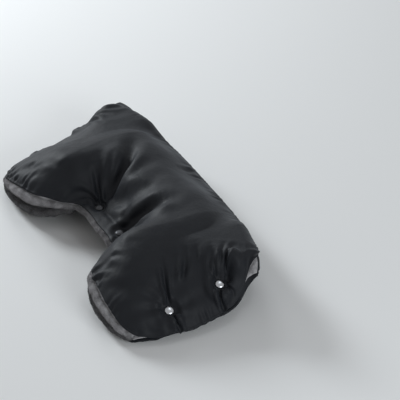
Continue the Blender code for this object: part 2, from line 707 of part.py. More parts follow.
def back_profile():
    """Flat back with the pin that holds the stud through the base."""
    reach = PRESSED_PANEL + STUD_PLATE + 2 * CLEARANCE + PIN_END_SHARE * NUB_HEIGHT
    pin = [(0, reach), (PIN_RADIUS, reach), (PIN_RADIUS, 0)]
    return pin + scaled(BACK_EDGE_SHARES, BACK_RADIUS, BACK_THICKNESS) + [(0, -BACK_THICKNESS)]


def build_snaps(materials, cover_parent, cover_origin, base_parent):
    """Cap and socket on the cover, stud and back on the base, at each seat."""
    metal = materials["metal"]
    steel = materials["steel"]
    socket_depth = PRESSED_PANEL + CLEARANCE
    stud_depth = socket_depth + SOCKET_HEIGHT + CLEARANCE
    back_depth = stud_depth + STUD_PLATE + PRESSED_PANEL + 2 * CLEARANCE
    pieces = (("snap_cap_", cap_profile(), -CLEARANCE, metal, True),
              ("snap_socket_", socket_profile(), socket_depth, steel, True),
              ("snap_stud_", stud_profile(), stud_depth, steel, False),
              ("snap_back_", back_profile(), back_depth, metal, False))
    for seat in SEATS:
        for prefix, profile, depth, material, moves in pieces:
            point, _ = seat_point(seat, depth)
            parent = cover_parent if moves else base_parent
            place = point + FRAME_SHIFT - (cover_origin if moves else 0)
            turned_solid(prefix + seat[0], profile, material, parent, place, seat[4])


# Scene


def new_material(name, colour, roughness, metallic):
    """Plain material in the part's colour."""
    material = bpy.data.materials.new(name)
    material.use_nodes = True
    shader = material.node_tree.nodes["Principled BSDF"]
    shader.inputs["Base Color"].default_value = (*colour, 1)
    shader.inputs["Roughness"].default_value = roughness
    shader.inputs["Metallic"].default_value = metallic
    return material


def new_empty(name, place):
    """Parent that stands on a body's axis."""
    empty = bpy.data.objects.new(name, None)
    bpy.context.collection.objects.link(empty)
    empty.location = place
    return empty


def main():
    for piece in list(bpy.data.objects):
        bpy.data.objects.remove(piece)
    materials = {"shell": new_material("black_shell_cloth", (0.016, 0.018, 0.020), 0.55, 0.0),
                 "wadding": new_material("white_wadding", (0.80, 0.80, 0.78), 0.9, 0.0),
                 "plush": new_material("grey_plush", (0.22, 0.22, 0.23), 0.95, 0.0),
                 "metal": new_material("gunmetal", (0.35, 0.36, 0.38), 0.3, 1.0),
                 "steel": new_material("nickel", (0.55, 0.54, 0.52), 0.35, 1.0)}
    seam = cover_bottom(np.zeros(1), np.ones(1))[0]
    fold = np.array((0, FRONT_REACH + FOLD_MARGIN, seam)) + FRAME_SHIFT
    cover = new_empty("cover_fold_axis", fold)
    base = new_empty("base_origin", (0, 0, 0))
    build_cover(materials, cover, fold)
    build_base(materials, base, np.zeros(3))
    build_rolls(materials, cover, fold, base)
    build_snaps(materials, cover, fold, base)
    axis_place = [round(float(value), 5) for value in fold]
    print("cover fold axis at", axis_place, "opens", round(math.degrees(COVER_TRAVEL)), "degrees")


main()
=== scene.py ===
# %% [markdown]
# # Stroller hand muff
# The muff is two padded panels, an upper one over the hands and a lower one below them, with a
# channel between them, sewn together along the front edge and held shut by six press studs. The cloth, the
# wadding's loft and the plush are made here as fine meshes over the packed model's surfaces,
# because soft goods live from folds and pile that the packed solids leave out. The press studs
# come from the packed model, apart from their caps, which are turned again with more sides.
# Everything is in metres, in the packed model's frame.

# %% Load the packed model
import math

import bpy
import numpy as np
from mathutils import Matrix, Vector, noise


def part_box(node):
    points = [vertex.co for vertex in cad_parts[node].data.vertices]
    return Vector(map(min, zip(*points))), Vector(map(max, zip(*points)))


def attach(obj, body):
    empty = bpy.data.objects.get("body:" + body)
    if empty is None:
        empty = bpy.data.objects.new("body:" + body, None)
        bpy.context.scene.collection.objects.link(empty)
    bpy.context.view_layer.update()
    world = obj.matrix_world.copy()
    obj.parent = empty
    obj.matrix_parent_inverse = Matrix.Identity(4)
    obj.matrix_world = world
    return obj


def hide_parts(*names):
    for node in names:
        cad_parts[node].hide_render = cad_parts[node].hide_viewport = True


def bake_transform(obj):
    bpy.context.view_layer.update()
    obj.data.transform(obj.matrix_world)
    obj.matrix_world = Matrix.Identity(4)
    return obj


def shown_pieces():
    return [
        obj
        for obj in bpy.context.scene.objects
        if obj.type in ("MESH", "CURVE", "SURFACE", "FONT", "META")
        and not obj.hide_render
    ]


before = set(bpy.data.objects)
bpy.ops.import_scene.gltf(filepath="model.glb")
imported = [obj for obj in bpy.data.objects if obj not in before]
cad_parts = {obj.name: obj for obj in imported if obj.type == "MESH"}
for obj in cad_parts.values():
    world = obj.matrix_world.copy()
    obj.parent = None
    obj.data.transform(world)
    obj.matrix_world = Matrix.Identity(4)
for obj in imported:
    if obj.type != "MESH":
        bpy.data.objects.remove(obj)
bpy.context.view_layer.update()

# %% [markdown]
# The panels have the same outline as the solids: a straight sewn front that falls back to the two
# corners where the channel opens, and two lobes with a waist between them. A lattice that runs
# across and from back to front is stretched between the edge curves, which keeps every row
# parallel to an edge, so seams, gathers and weave follow the cloth. Places are measured from the
# channel's axis at the middle of the muff, and SHIFT takes them to the packed model's frame.

# %% Outline of the panels
HALF_WIDTH, FRONT_REACH, LOBE_REACH, WAIST_REACH = 0.254, 0.040, 0.217, 0.148
WAIST_HALF = 0.157
CHANNEL_HEIGHT = 0.066
ROLL_WIDE, ROLL_SETBACK = 0.013, 0.003
SHIFT = np.array((0, (LOBE_REACH + ROLL_WIDE / 2 - ROLL_SETBACK - FRONT_REACH) / 2, CHANNEL_HEIGHT))
SIDES = ((-1, "left"), (1, "right"))
FRONT_OUTLINE = ((0.0, 1.0), (0.24, 1.0), (0.47, 0.93), (0.65, 0.78), (0.79, 0.50), (0.89, 0.10))
SIDE_OUTLINE = ((0.905, -0.055), (0.939, -0.12), (0.969, -0.185), (0.985, -0.26), (0.992, -0.36),
                (0.992, -0.48), (0.98, -0.61), (0.957, -0.745), (0.905, -0.885))
BACK_OUTLINE = ((0.25, -0.71), (0.323, -0.83), (0.417, -0.95), (0.55, -0.995), (0.69, -1.0),
                (0.815, -0.968))


def smooth_curve(points, samples=400):
    """Places along a smooth curve through the points, by share of its length."""
    points = np.asarray(points, float)
    chord = np.r_[0, np.cumsum(np.linalg.norm(np.diff(points, axis=0), axis=1))]
    slope = np.gradient(points, chord, axis=0)
    place = np.linspace(0, chord[-1], samples)
    part = np.clip(np.searchsorted(chord, place, side="right") - 1, 0, len(chord) - 2)
    step = (chord[part + 1] - chord[part])[:, None]
    t = (place - chord[part])[:, None] / step
    path = (2 * t**3 - 3 * t**2 + 1) * points[part] + (t**3 - 2 * t**2 + t) * step * slope[part]
    path += (3 * t**2 - 2 * t**3) * points[part + 1] + (t**3 - t**2) * step * slope[part + 1]
    share = place / chord[-1]
    return lambda where: np.stack([np.interp(where, share, path[:, k]) for k in (0, 1)], -1)


front = [(x * HALF_WIDTH, y * FRONT_REACH) for x, y in FRONT_OUTLINE]
side = [(x * HALF_WIDTH, y * LOBE_REACH) for x, y in SIDE_OUTLINE]
back = [(0.0, -WAIST_REACH), (WAIST_HALF * HALF_WIDTH, -WAIST_REACH)]
back += [(x * HALF_WIDTH, y * LOBE_REACH) for x, y in BACK_OUTLINE] + [side[-1]]
FRONT_EDGE, BACK_EDGE = smooth_curve(front), smooth_curve(back)
SIDE_EDGE = smooth_curve(side[::-1] + [front[-1]])


def mirrored(edge, across):
    """Place on an edge that runs over both halves."""
    place = edge(np.abs(across))
    place[..., 0] *= np.where(across < 0, -1, 1)
    return place


def plan(across, deep):
    """Place on the floor plan for -1 to 1 across and 0 to 1 from back to front."""
    across, deep = np.asarray(across, float), np.asarray(deep, float)
    right = SIDE_EDGE(deep)
    t, v = ((across + 1) / 2)[..., None], deep[..., None]
    ends = np.ones_like(across)
    corners = (1 - t) * (1 - v) * mirrored(BACK_EDGE, -ends) + t * (1 - v) * mirrored(BACK_EDGE, ends)
    corners += (1 - t) * v * mirrored(FRONT_EDGE, -ends) + t * v * mirrored(FRONT_EDGE, ends)
    between = (1 - v) * mirrored(BACK_EDGE, across) + v * mirrored(FRONT_EDGE, across)
    return between + (1 - t) * right * (-1, 1) + t * right - corners


def distance_to(point, place):
    """Distance on the plan between a point and each place."""
    return np.hypot(place[..., 0] - point[0], place[..., 1] - point[1])


print("outline", np.round(plan(1, 0), 4), "to", np.round(plan(1, 1), 4))

# %% [markdown]
# Each press stud pins both panels together and draws the cloth down into a tuck. The outer four
# lean outwards with the drooping sides. A tuck is full strength on the flat seat under the cap
# and fades with a smooth step, so the same weight can shape the height, thin the padding and
# later steer the folds.

# %% Press stud seats
SHELL, CLEARANCE, PRESSED_WADDING, PRESSED_LINING = 0.0012, 0.0003, 0.0008, 0.0015
SOCKET_HEIGHT, STUD_PLATE = 0.0034, 0.0010
CAP_RADIUS, SEAT_RADIUS, TUCK_CURVE, TILT = 0.0070, 0.0092, 1.3, math.radians(25)
PRESSED_PANEL = SHELL + PRESSED_WADDING + PRESSED_LINING + 2 * CLEARANCE
STACK_TO_BASE = PRESSED_PANEL + SOCKET_HEIGHT + STUD_PLATE + 3 * CLEARANCE
SEATS = {}
for s, word in SIDES:
    # Place, depth below the channel's axis, outward tilt and radius of the tuck
    SEATS["front_" + word] = (*plan(s * 0.88, 0.66), 0.014, s * TILT, 0.028)
    SEATS["rear_" + word] = (*plan(s * 0.88, 0.32), 0.031, s * TILT, 0.042)
    SEATS["waist_" + word] = (*plan(s * 0.133, 0.12), 0.022, 0.0, 0.074)


def smooth_step(t):
    """Climb softly from 0 to 1."""
    t = np.clip(t, 0, 1)
    return t * t * (3 - 2 * t)


def seat_point(seat, depth):
    """Point on a press stud's axis, at a depth below the cover's outer face, and the axis."""
    axis = np.array((math.sin(seat[3]), 0.0, math.cos(seat[3])))
    return np.array((seat[0], seat[1], -seat[2])) - depth * axis, axis


def seat_pull(seat, depth, place):
    """How strongly a press stud pulls the cloth to its seat: 1 on the seat, 0 outside its tuck."""
    distance = distance_to(seat_point(seat, depth)[0], place)
    return (1 - smooth_step((distance - SEAT_RADIUS) / (seat[4] - SEAT_RADIUS))) ** TUCK_CURVE


def pull_to_seats(height, place, depth):
    """Draw a height field to every press stud's flat seat."""
    for seat in SEATS.values():
        pull = seat_pull(seat, depth, place)
        point, axis = seat_point(seat, depth)
        plane = point[2] - (place[..., 0] - point[0]) * axis[0] / axis[2]
        height = height * (1 - pull) + plane * pull
    return height


def seat_distance(place, depth=0.0):
    """Distance from each place to the nearest press stud."""
    return np.min([distance_to(seat_point(seat, depth)[0], place) for seat in SEATS.values()], axis=0)


for name, seat in SEATS.items():
    middle = np.mean(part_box("snap_cap_" + name), axis=0) - SHIFT
    off = 1000 * np.abs(middle - seat_point(seat, 0)[0]).max()
    print(name, "has its packed cap's middle within", round(float(off), 1), "mm")

# %% [markdown]
# The heights follow the packed panels: the cover is crowned over the hands, droops at the sides,
# stays closed along the sewn front and arches over the channel's bends. The base hangs
# below it like a sling. Both are height fields over the same lattice, so they can't cross. The
# tables give a level or a gap by the share of the way along an edge.

# %% Levels and gaps along the edges
CROWN, SEAM_DROP, SIDE_DROP, LIP_DROP, WAIST_DROP = 0.034, 0.014, 0.053, 0.017, 0.026
EXIT_RISE, EXIT_OPENING, CLOSED_GAP = 0.018, 0.032, 0.0006
ROLL_HIGH, BASE_ROLL, WAIST_ROLL, SLIT, ROLL_GAP = 0.0125, 0.007, 0.006, 0.0105, 0.0008
LIP_FADE, LIP_POWER, TABLE_SOFTENING = 0.055, 4, 0.03
EXIT_LEVEL = ((0.0, 0.0), (0.60, 0.0), (0.75, 0.08), (0.85, 0.30), (0.93, 0.85), (1.0, 1.0))
EXIT_FRONT = ((0.0, 0.0), (0.80, 0.0), (0.87, 0.35), (0.93, 0.90), (1.0, 1.0))
EXIT_SIDE = ((0.0, 0.0), (0.74, 0.0), (0.84, 0.30), (0.90, 0.62), (0.95, 0.92), (1.0, 1.0))
SIDE_LEVEL = ((0.0, 0.92), (0.12, 1.0), (0.25, 1.0), (0.37, 0.94), (0.50, 0.86), (0.62, 0.76),
              (0.75, 0.62), (1.0, 0.40))
WAIST_LEVEL = ((0.0, 1.0), (0.20, 0.92), (0.32, 0.33), (0.45, 0.0), (1.0, 0.0))
CORNER_LEVEL = ((0.0, 0.0), (0.45, 0.0), (0.60, 0.03), (0.75, 0.28), (0.88, 0.66), (1.0, 1.0))
LIP_GAPE = ((0.0, 0.0), (0.26, 0.0), (0.30, 0.30), (0.40, 0.80), (0.50, 1.0), (0.65, 1.0),
            (0.80, 0.75), (0.90, 0.42), (1.0, 0.14))
WAIST_GAPE = ((0.0, 1.0), (0.26, 1.0), (0.30, 0.0), (1.0, 0.0))


def table(shares, where):
    """Read a table of shares with soft corners, so that the cloth has no kinks."""
    places, values = zip(*shares)
    where = np.asarray(where, float)
    around = np.linspace(-TABLE_SOFTENING, TABLE_SOFTENING, 7)
    return np.mean([np.interp(where + d, places, values) for d in around], axis=0)


def ease(distance, reach, power):
    """Rise from 0 at an edge to 1 at the reach, steepest at the edge."""
    return 1 - (1 - np.clip(distance / reach, 0, 1)) ** power


def edge_blend(deep, front_level, back_level, side_level, front_corner, back_corner):
    """Spread the levels of the edges over a panel."""
    corners = (1 - deep) * back_corner + deep * front_corner
    return (1 - deep) * back_level + deep * front_level + side_level - corners


def cover_edge(across, deep):
    """Level of the cover's edges, spread over the panel."""
    span = np.abs(across)
    front_level = -SEAM_DROP + (SEAM_DROP + EXIT_RISE) * table(EXIT_LEVEL, span)
    arch = table(EXIT_SIDE, deep)
    side_level = EXIT_RISE * arch - SIDE_DROP * table(SIDE_LEVEL, deep) * (1 - arch)
    back_corner = -SIDE_DROP * SIDE_LEVEL[0][1]
    back_level = -LIP_DROP - (WAIST_DROP - LIP_DROP) * table(WAIST_LEVEL, span)
    back_level = back_level + (back_corner + LIP_DROP) * table(CORNER_LEVEL, span)
    return edge_blend(deep, front_level, back_level, side_level, EXIT_RISE, back_corner)


def lip_gape(across):
    """Gap between the panels along the back edge, where it holds the rolls and the slit."""
    share = table(LIP_GAPE, np.abs(across))
    waist = (WAIST_ROLL + 2 * ROLL_GAP) * table(WAIST_GAPE, np.abs(across))
    return CLOSED_GAP + waist + share * (ROLL_HIGH + SLIT + BASE_ROLL + 2 * ROLL_GAP)


def gape(across, deep):
    """How far the cover's and the base's edges stand apart."""
    front_gape = CLOSED_GAP + EXIT_OPENING * table(EXIT_FRONT, np.abs(across))
    corner = lip_gape(np.ones_like(across))
    side_gape = CLOSED_GAP + EXIT_OPENING * table(EXIT_SIDE, deep)
    side_gape = side_gape + (corner - CLOSED_GAP) * (1 - ease(deep * LOBE_REACH, LIP_FADE, LIP_POWER))
    exit_gape = CLOSED_GAP + EXIT_OPENING
    return edge_blend(deep, front_gape, lip_gape(across), side_gape, exit_gape, corner)


print("the lips gape", round(1000 * float(lip_gape(0.6)), 1), "mm at a hand opening")

# %% [markdown]
# Over those edge levels the panels take their loft. Each edge has a reach and a power for its
# rounding. The layers' thickness is laid along the slant of the cloth, as real wadding is, and
# it is pressed thin at the seams, at the press studs and over the channel.

# %% Rounding of the panels and the channel
COVER_ROUNDING = ((0.135, 1.4), (0.074, 2.6), (0.072, 2.4))
BASE_ROUNDING = ((0.100, 1.4), (0.060, 2.2), (0.060, 1.6))
PADDING_ROUNDING = ((0.055, 1.3),) * 3
CHANNEL_SPAN, BEND, BEND_END, RIDGE = 0.218, 0.058, 0.008, 0.028
CHANNEL_RISE, RISE_FROM_FRONT, RISE_FROM_SIDE = 0.024, 0.024, 0.022
ACROSS_CROWDING, DEEP_CROWDING = 0.10, 0.12


def edge_distances(across, deep):
    """Distance in from the side, the front and the back edge."""
    reach = LOBE_REACH - (LOBE_REACH - WAIST_REACH) * np.exp(-((across / (2 * WAIST_HALF)) ** 2))
    return (1 - np.abs(across)) * HALF_WIDTH, (1 - deep) * reach, deep * reach


def rounding(across, deep, edges):
    """Rise from 0 at the edges to 1 inside, with a reach and a power for each edge."""
    risen = 1
    for distance, (reach, power) in zip(edge_distances(across, deep), edges):
        risen = risen * ease(distance, reach, power)
    return risen


def near_channel(place):
    """1 over the channel and inside its bends, 0 well outside them."""
    x = np.abs(place[..., 0]) - (CHANNEL_SPAN - BEND)
    y = place[..., 1] - BEND_END
    past = np.maximum(np.where(y < 0, np.hypot(np.maximum(x, 0), y) - BEND, x - BEND), 0)
    return np.exp(-((past / RIDGE) ** 2)) * smooth_step((x + BEND) / BEND)


def cover_top(across, deep):
    """Height of the cover's outer face, before its folds."""
    place = plan(across, deep)
    edge = cover_edge(across, deep)
    height = edge + (CROWN - edge) * rounding(across, deep, COVER_ROUNDING)
    from_side, from_front, _ = edge_distances(across, deep)
    lift = ease(from_front, RISE_FROM_FRONT, 2) * ease(from_side, RISE_FROM_SIDE, 2)
    height = height + np.maximum(CHANNEL_RISE - height, 0) * lift * near_channel(place)
    return pull_to_seats(height, place, 0.0)


def lattice(columns, rows):
    """A grid of across and deep values, a little closer together towards the edges."""
    u, v = np.linspace(-1, 1, columns), np.linspace(0, 1, rows)
    u = u + ACROSS_CROWDING * np.sin(math.pi * u) / math.pi
    v = v - DEEP_CROWDING * np.sin(2 * math.pi * v) / (2 * math.pi)
    return np.meshgrid(u, v)


TRIAL = lattice(61, 41)
print("the cover's crown is", round(1000 * float(cover_top(*TRIAL).max()), 1), "mm over the axis")

# %% [markdown]
# Each panel is shell, wadding and lining. Their heights follow from the outer face and the
# layers' thickness, measured square to the cloth, so a slanted layer is cut longer from top to
# bottom. The base's plush face hangs between its edges and lies on two flat beds beside a
# slightly raised middle.

# %% Layers, and the base below the cover
WADDING_LOFT, LINING_LOFT, CHANNEL_THINNING, STEEPEST = 0.0092, 0.0020, 0.6, 1.4
CHANNEL_RADIUS, CHANNEL_MARGIN = 0.012, 0.003
CENTRE_LIFT, CENTRE_WIDTH, FLOOR_CUT = 0.012, 0.058, 0.0005


def at_height(place, height):
    """Points of a lattice from its places on the plan and their heights."""
    return np.concatenate([place, height[..., None]], -1)


def slant(height, across, deep, step=0.01):
    """Length of a slanted layer's vertical cut, for one unit of its thickness."""
    spans = []
    for du, dv in ((step, 0), (0, step)):
        low = (np.clip(across - du, -1, 1), np.clip(deep - dv, 0, 1))
        high = (np.clip(across + du, -1, 1), np.clip(deep + dv, 0, 1))
        spans.append(at_height(plan(*high) - plan(*low), height(*high) - height(*low)))
    normal = np.cross(*spans)
    return np.minimum(np.linalg.norm(normal, axis=-1) / np.abs(normal[..., 2]), STEEPEST)


def layers(across, deep, depth):
    """Thickness down to the wadding's far face and to the lining's."""
    place = plan(across, deep)
    full = rounding(across, deep, PADDING_ROUNDING) * (1 - CHANNEL_THINNING * near_channel(place))
    for seat in SEATS.values():
        full = full * (1 - seat_pull(seat, depth, place))
    soft = SHELL + CLEARANCE + PRESSED_WADDING + WADDING_LOFT * full
    return soft, soft + CLEARANCE + PRESSED_LINING + LINING_LOFT * full


def cover_bottom(across, deep):
    """Height of the cover's plush face."""
    return cover_top(across, deep) - layers(across, deep, 0.0)[1] * slant(cover_top, across, deep)


def base_top(across, deep):
    """Height of the base's plush face."""
    place = plan(across, deep)
    sag = rounding(across, deep, BASE_ROUNDING)
    under = cover_bottom(across, deep)
    lift = CENTRE_LIFT * np.exp(-((place[..., 0] / CENTRE_WIDTH) ** 2))
    bed = -CHANNEL_HEIGHT - FLOOR_CUT + lift + layers(across, deep, STACK_TO_BASE)[1]
    height = (under - gape(across, deep)) * (1 - sag) + bed * sag
    height = height - np.maximum(height + CHANNEL_RADIUS + CHANNEL_MARGIN, 0) * near_channel(place)
    return np.minimum(pull_to_seats(height, place, STACK_TO_BASE), under - CLOSED_GAP)


room = 1000 * (cover_bottom(*TRIAL) - base_top(*TRIAL))
print("room between the panels is", round(float(room.min()), 1), "to", round(float(room.max())), "mm")

# %% [markdown]
# What makes the cover look like real cloth is where it folds. Gathers run out from each press
# stud, two deep valleys run up from the waist, and the lobes wrinkle where they turn over the
# hands. Each fold here is a short curve on the floor plan in millimetres with a depth and a
# width, a valley if the depth is positive and a ridge if it is negative. A table of curves is
# quicker to tune than sculpting, and gives the same cloth every time.

# %% Folds of the cover
FOLDS = [
    # Near end, front press stud: gathers uphill, a pit and its wall, two creases to the edge
    (((213, 26), (206, 26), (195, 32), (180, 42)), 3.6, 2.4),
    (((212, 31), (202, 34), (188, 42)), 3.2, 2.2),
    (((209, 42), (201, 48), (188, 60)), 3.8, 2.4),
    (((214, 46), (205, 57), (196, 70)), 3.8, 2.6),
    (((222, 44), (230, 53), (236, 62)), 2.6, 2.4),
    (((216, 44), (222, 49), (230, 49)), 10.0, 5.0),
    (((196, 54), (212, 63), (232, 60)), -5.5, 5.5),
    (((227, 30), (236, 26), (254, 26)), 8.0, 2.2),
    (((226, 39), (236, 43), (241, 45), (243, 38)), 4.6, 2.0),
    (((190, 14), (180, 18), (166, 26)), 2.4, 3.2),
    # Near end, rear press stud
    (((213, -44), (200, -41), (184, -35), (168, -30)), 5.2, 2.4),
    (((212, -50), (196, -45), (184, -41)), -2.0, 2.4),
    (((202, -24), (184, -10), (170, 1)), -3.0, 3.2),
    (((200, -14), (182, -1), (168, 7)), 3.2, 2.8),
    (((224, -38), (226, -15), (224, 14)), 2.2, 5.0),
    (((230, -40), (238, -28), (242, -16)), 1.8, 3.0),
    (((227, -48), (238, -46), (256, -43)), 9.0, 2.2),
    (((216, -57), (214, -78), (204, -98)), 2.8, 3.8),
    (((211, -54), (201, -66), (190, -86)), 2.2, 3.6),
    # Near lobe: the deep tuck at its inner edge and the soft wrinkles over the hand
    (((107, -124), (113, -116), (122, -102)), 6.0, 3.8),
    (((114, -125), (123, -116), (131, -100)), -2.6, 3.6),
    (((123, -123), (131, -116), (144, -104)), 2.4, 2.6),
    (((118, -90), (128, -82), (142, -74)), 2.0, 3.2),
    (((128, -111), (134, -100), (146, -88)), 1.6, 3.4),
    (((170, -118), (190, -104), (200, -86)), -1.6, 6.0),
    (((150, -112), (172, -98), (186, -78)), 1.6, 5.0),
    (((112, -60), (130, -52), (150, -50)), 1.2, 5.0),
    # Waist: the narrow and the broad valley over the left stud, the ridge between them
    (((-44, -30), (-57, -26), (-67, -24), (-80, -21)), 6.5, 2.5),
    (((-42, -22), (-44, -7), (-49, 11), (-60, 26), (-86, 46), (-104, 62)), 9.5, 7.5),
    (((-42, -2), (-52, 17), (-74, 38)), 5.0, 4.5),
    (((-50, -22), (-65, -13), (-76, -3), (-88, 8)), -4.0, 4.0),
    # Waist: two valleys over the right stud, with a ridge between them
    (((-30, -21), (-12, -8), (6, 4), (14, 22), (4, 42)), 5.0, 8.0),
    (((26, -12), (40, 12), (42, 40)), -2.0, 6.0),
    (((33, -24), (36, -7), (47, 5), (64, 20), (66, 40)), 8.0, 6.0),
    (((64, -62), (60, -30), (66, 0), (84, 26)), -3.4, 8.0),
    (((40, -36), (56, -58), (62, -76)), 3.0, 3.2),
    # Waist: the arched crease that rises from the right stud over to the left one
    (((35, -27), (30, -18), (14, -10), (-6, -8), (-24, -14)), 2.0, 5.0),
    (((-48, -42), (-58, -52), (-66, -60)), 3.0, 3.0),
    # Far lobe: the arched folds beside the waist and the wrinkles over the hand
    (((-46, -36), (-60, -39), (-70, -52), (-74, -70)), 6.5, 3.0),
    (((-46, -41), (-58, -48), (-64, -62)), -2.4, 3.0),
    (((-182, -114), (-163, -104), (-134, -88), (-115, -62)), 1.8, 5.0),
    (((-142, -114), (-127, -100), (-110, -82), (-96, -60)), 1.6, 4.5),
    (((-94, -72), (-96, -51), (-98, -26)), 2.0, 7.0),
    (((-151, -98), (-152, -88), (-148, -76)), 1.6, 3.4),
    # Far lobe's rim: short puckers where the thread draws the seam up
    (((-214, -112), (-203, -103)), 3.4, 2.2),
    (((-200, -121), (-189, -110)), 3.8, 2.2),
    (((-181, -124), (-173, -112)), 3.6, 2.2),
    (((-163, -125), (-157, -113)), 3.2, 2.2),
    (((-145, -124), (-141, -114)), 2.6, 2.2),
    (((-127, -121), (-124, -111)), 2.4, 2.4),
    # Far corner: puckers where the channel opens
    (((-216, 56), (-204, 80), (-206, 98)), 2.6, 3.4),
    (((-236, 46), (-212, 50), (-190, 70)), 2.8, 3.6),
    (((-228, 62), (-220, 82), (-216, 92)), 2.0, 3.0),
    (((-190, 44), (-184, 66), (-188, 90)), 1.4, 5.0),
    # Far end's press studs, which the hand lobe hides
    (((-213, 36), (-200, 36), (-180, 40)), 3.2, 2.6),
    (((-213, 42), (-204, 51), (-192, 60)), 3.0, 2.6),
    (((-230, 34), (-240, 34), (-248, 32)), 1.2, 2.4),
    (((-213, -44), (-198, -41), (-182, -40)), 3.4, 2.4),
    (((-212, -54), (-202, -66), (-192, -86)), 2.2, 3.8),
    (((-229, -47), (-240, -47), (-251, -44)), 1.5, 2.4),
    # Front seam: the notch near the middle and two soft drags
    (((-26, 127), (-22, 112), (-14, 92)), 2.6, 3.4),
    (((60, 126), (66, 110), (74, 96)), 1.0, 4.0),
    (((-120, 118), (-112, 100), (-104, 88)), 1.0, 4.5),
]
DIPS = [
    # Broad hollows at the waist that take the wadding and the lining down with the cloth
    (((-40, -30), (-44, -7), (-49, 11), (-60, 26), (-86, 46)), 5.0, 9.0),
    (((-10, -30), (-4, -10), (6, 10), (10, 30)), 4.5, 11.0),
    (((36, -28), (38, -7), (47, 5), (64, 20)), 5.0, 8.0),
    (((-24, -33), (0, -30), (24, -33)), 4.5, 8.0),
    # The pit behind the near end's front press stud
    (((207, 46), (216, 50), (227, 50)), 9.0, 5.5),
    # The creases from the near end's press studs over the edge
    (((258, -42), (244, -45), (228, -48)), 5.0, 2.4),
    (((258, 25), (244, 27), (228, 31)), 5.0, 2.4),
]
FOLD_SAMPLES, FOLD_MARGIN, STUD_REACH = 24, 8, 0.013
BEGIN_SHARE, FOLD_FADE, FADE_POWER, FOLD_WIDENING = 0.35, 0.85, 1.5, 0.6
SHOULDER, SHOULDER_BEGIN, SHOULDER_OFFSET = 0.45, 0.3, 1.9


def nearest_on_curve(curve, x, y):
    """Distance from places to a curve of points, and the share of the curve passed there."""
    best = np.full(x.shape, np.inf)
    along = np.zeros_like(best)
    for k, (a, b) in enumerate(zip(curve, curve[1:])):
        d = b - a
        t = np.clip(((x - a[0]) * d[0] + (y - a[1]) * d[1]) / (d @ d), 0, 1)
        distance = np.hypot(x - a[0] - t * d[0], y - a[1] - t * d[1])
        nearer = distance < best
        best = np.where(nearer, distance, best)
        along = np.where(nearer, (k + t) / (len(curve) - 1), along)
    return best, along


def fold_height(x, y, folds):
    """Depth of folds at places on the plan, in metres, with a raised shoulder beside each."""
    total = np.zeros_like(x)
    for points, deepness, width in folds:
        points = np.array(points, float) / 1000
        even = np.linspace(0, 1, FOLD_SAMPLES)
        curve = smooth_curve(points, FOLD_SAMPLES)(even) if len(points) > 2 else points
        width, deepness = width / 1000, deepness / 1000
        low, high = curve.min(axis=0) - FOLD_MARGIN * width, curve.max(axis=0) + FOLD_MARGIN * width
        near = (x > low[0]) & (x < high[0]) & (y > low[1]) & (y < high[1])
        best, along = nearest_on_curve(curve, x[near], y[near])
        # A fold that starts under a cap is full from there, any other one fades in
        at_stud = seat_distance(curve[0] - SHIFT[:2]) < STUD_REACH
        begin = 1 if at_stud else smooth_step(along / BEGIN_SHARE)
        fade = 1 - FOLD_FADE * along**FADE_POWER
        wide = width * (1 + FOLD_WIDENING * along)
        total[near] -= deepness * fade * begin * np.exp(-((best / wide) ** 2))
        beside = SHOULDER * smooth_step(along / SHOULDER_BEGIN)
        total[near] += beside * deepness * fade * np.exp(-(((best - SHOULDER_OFFSET * wide) / wide) ** 2))
    return total


print(len(FOLDS), "folds and", len(DIPS), "dips")

# %% [markdown]
# A seam in padded cloth is never straight: the thread draws it up into small gathers that die
# out a couple of centimetres in. The gathers are waves along the edge with an uneven spacing,
# and slow noise under them keeps the broad faces from looking machined.

# %% Gathers and soft unevenness
# Odd ratios between the waves keep the gathers from repeating
PHASE_WANDER = ((1.9, 3.7, 0), (1.1, 7.3, 1))
STRENGTH_WANDER = (0.55, 0.45, 5.1, 2)
SEED_STEP = (7.1, 3.3, 1.7)


def gathers(along, distance, spacing, reach):
    """Uneven waves along an edge that die out with the distance from it."""
    phase = 2 * math.pi * along / spacing
    wander = sum(size * np.sin(phase / ratio + start) for size, ratio, start in PHASE_WANDER)
    level, size, ratio, start = STRENGTH_WANDER
    strength = level + size * np.sin(phase / ratio + start)
    return np.sin(phase + wander) * strength * np.exp(-((distance / reach) ** 2))


def seam_gathers(x, along, distance, kind):
    """Gathers of a kind: its height at the muff's left and at its right, spacing and reach."""
    left, right, spacing, reach = kind
    return np.where(x < 0, left, right) * gathers(along, distance, spacing, reach)


def slow_noise(place, waves, seed):
    """Slow noise over a lattice of places, with its waves to the metre."""
    shift = Vector([seed * part for part in SEED_STEP])
    values = [noise.noise(Vector((x * waves, y * waves, 0)) + shift) for x, y in place.reshape(-1, 2)]
    return np.reshape(values, place.shape[:-1])


def uneven(place, swells):
    """Sum of slow noises, each with its waves to the metre, seed and height."""
    return sum(height * slow_noise(place, waves, seed) for waves, seed, height in swells)


metre = np.linspace(0, 1, 2000)
print("gathers reach", round(float(gathers(metre, 0, 0.015, 1).max()), 2), "of their height")

# %% [markdown]
# One function turns two stacked lattices into a closed padded body: an outer face, an inner face
# and a rounded edge that joins them, like cloth turned over wadding. The lattice also gives the
# texture coordinates in metres, so the weave runs with the cloth.

# %% Padded bodies from two lattices


def surface_normals(grid):
    """Unit normals of a lattice of points, pointing up."""
    normal = np.cross(np.gradient(grid, axis=1), np.gradient(grid, axis=0))
    return normal / np.linalg.norm(normal, axis=-1)[..., None]


def quads(index):
    """Faces between the rows and columns of a lattice of point numbers."""
    return np.stack([index[:-1, :-1], index[:-1, 1:], index[1:, 1:], index[1:, :-1]], -1).reshape(-1, 4)


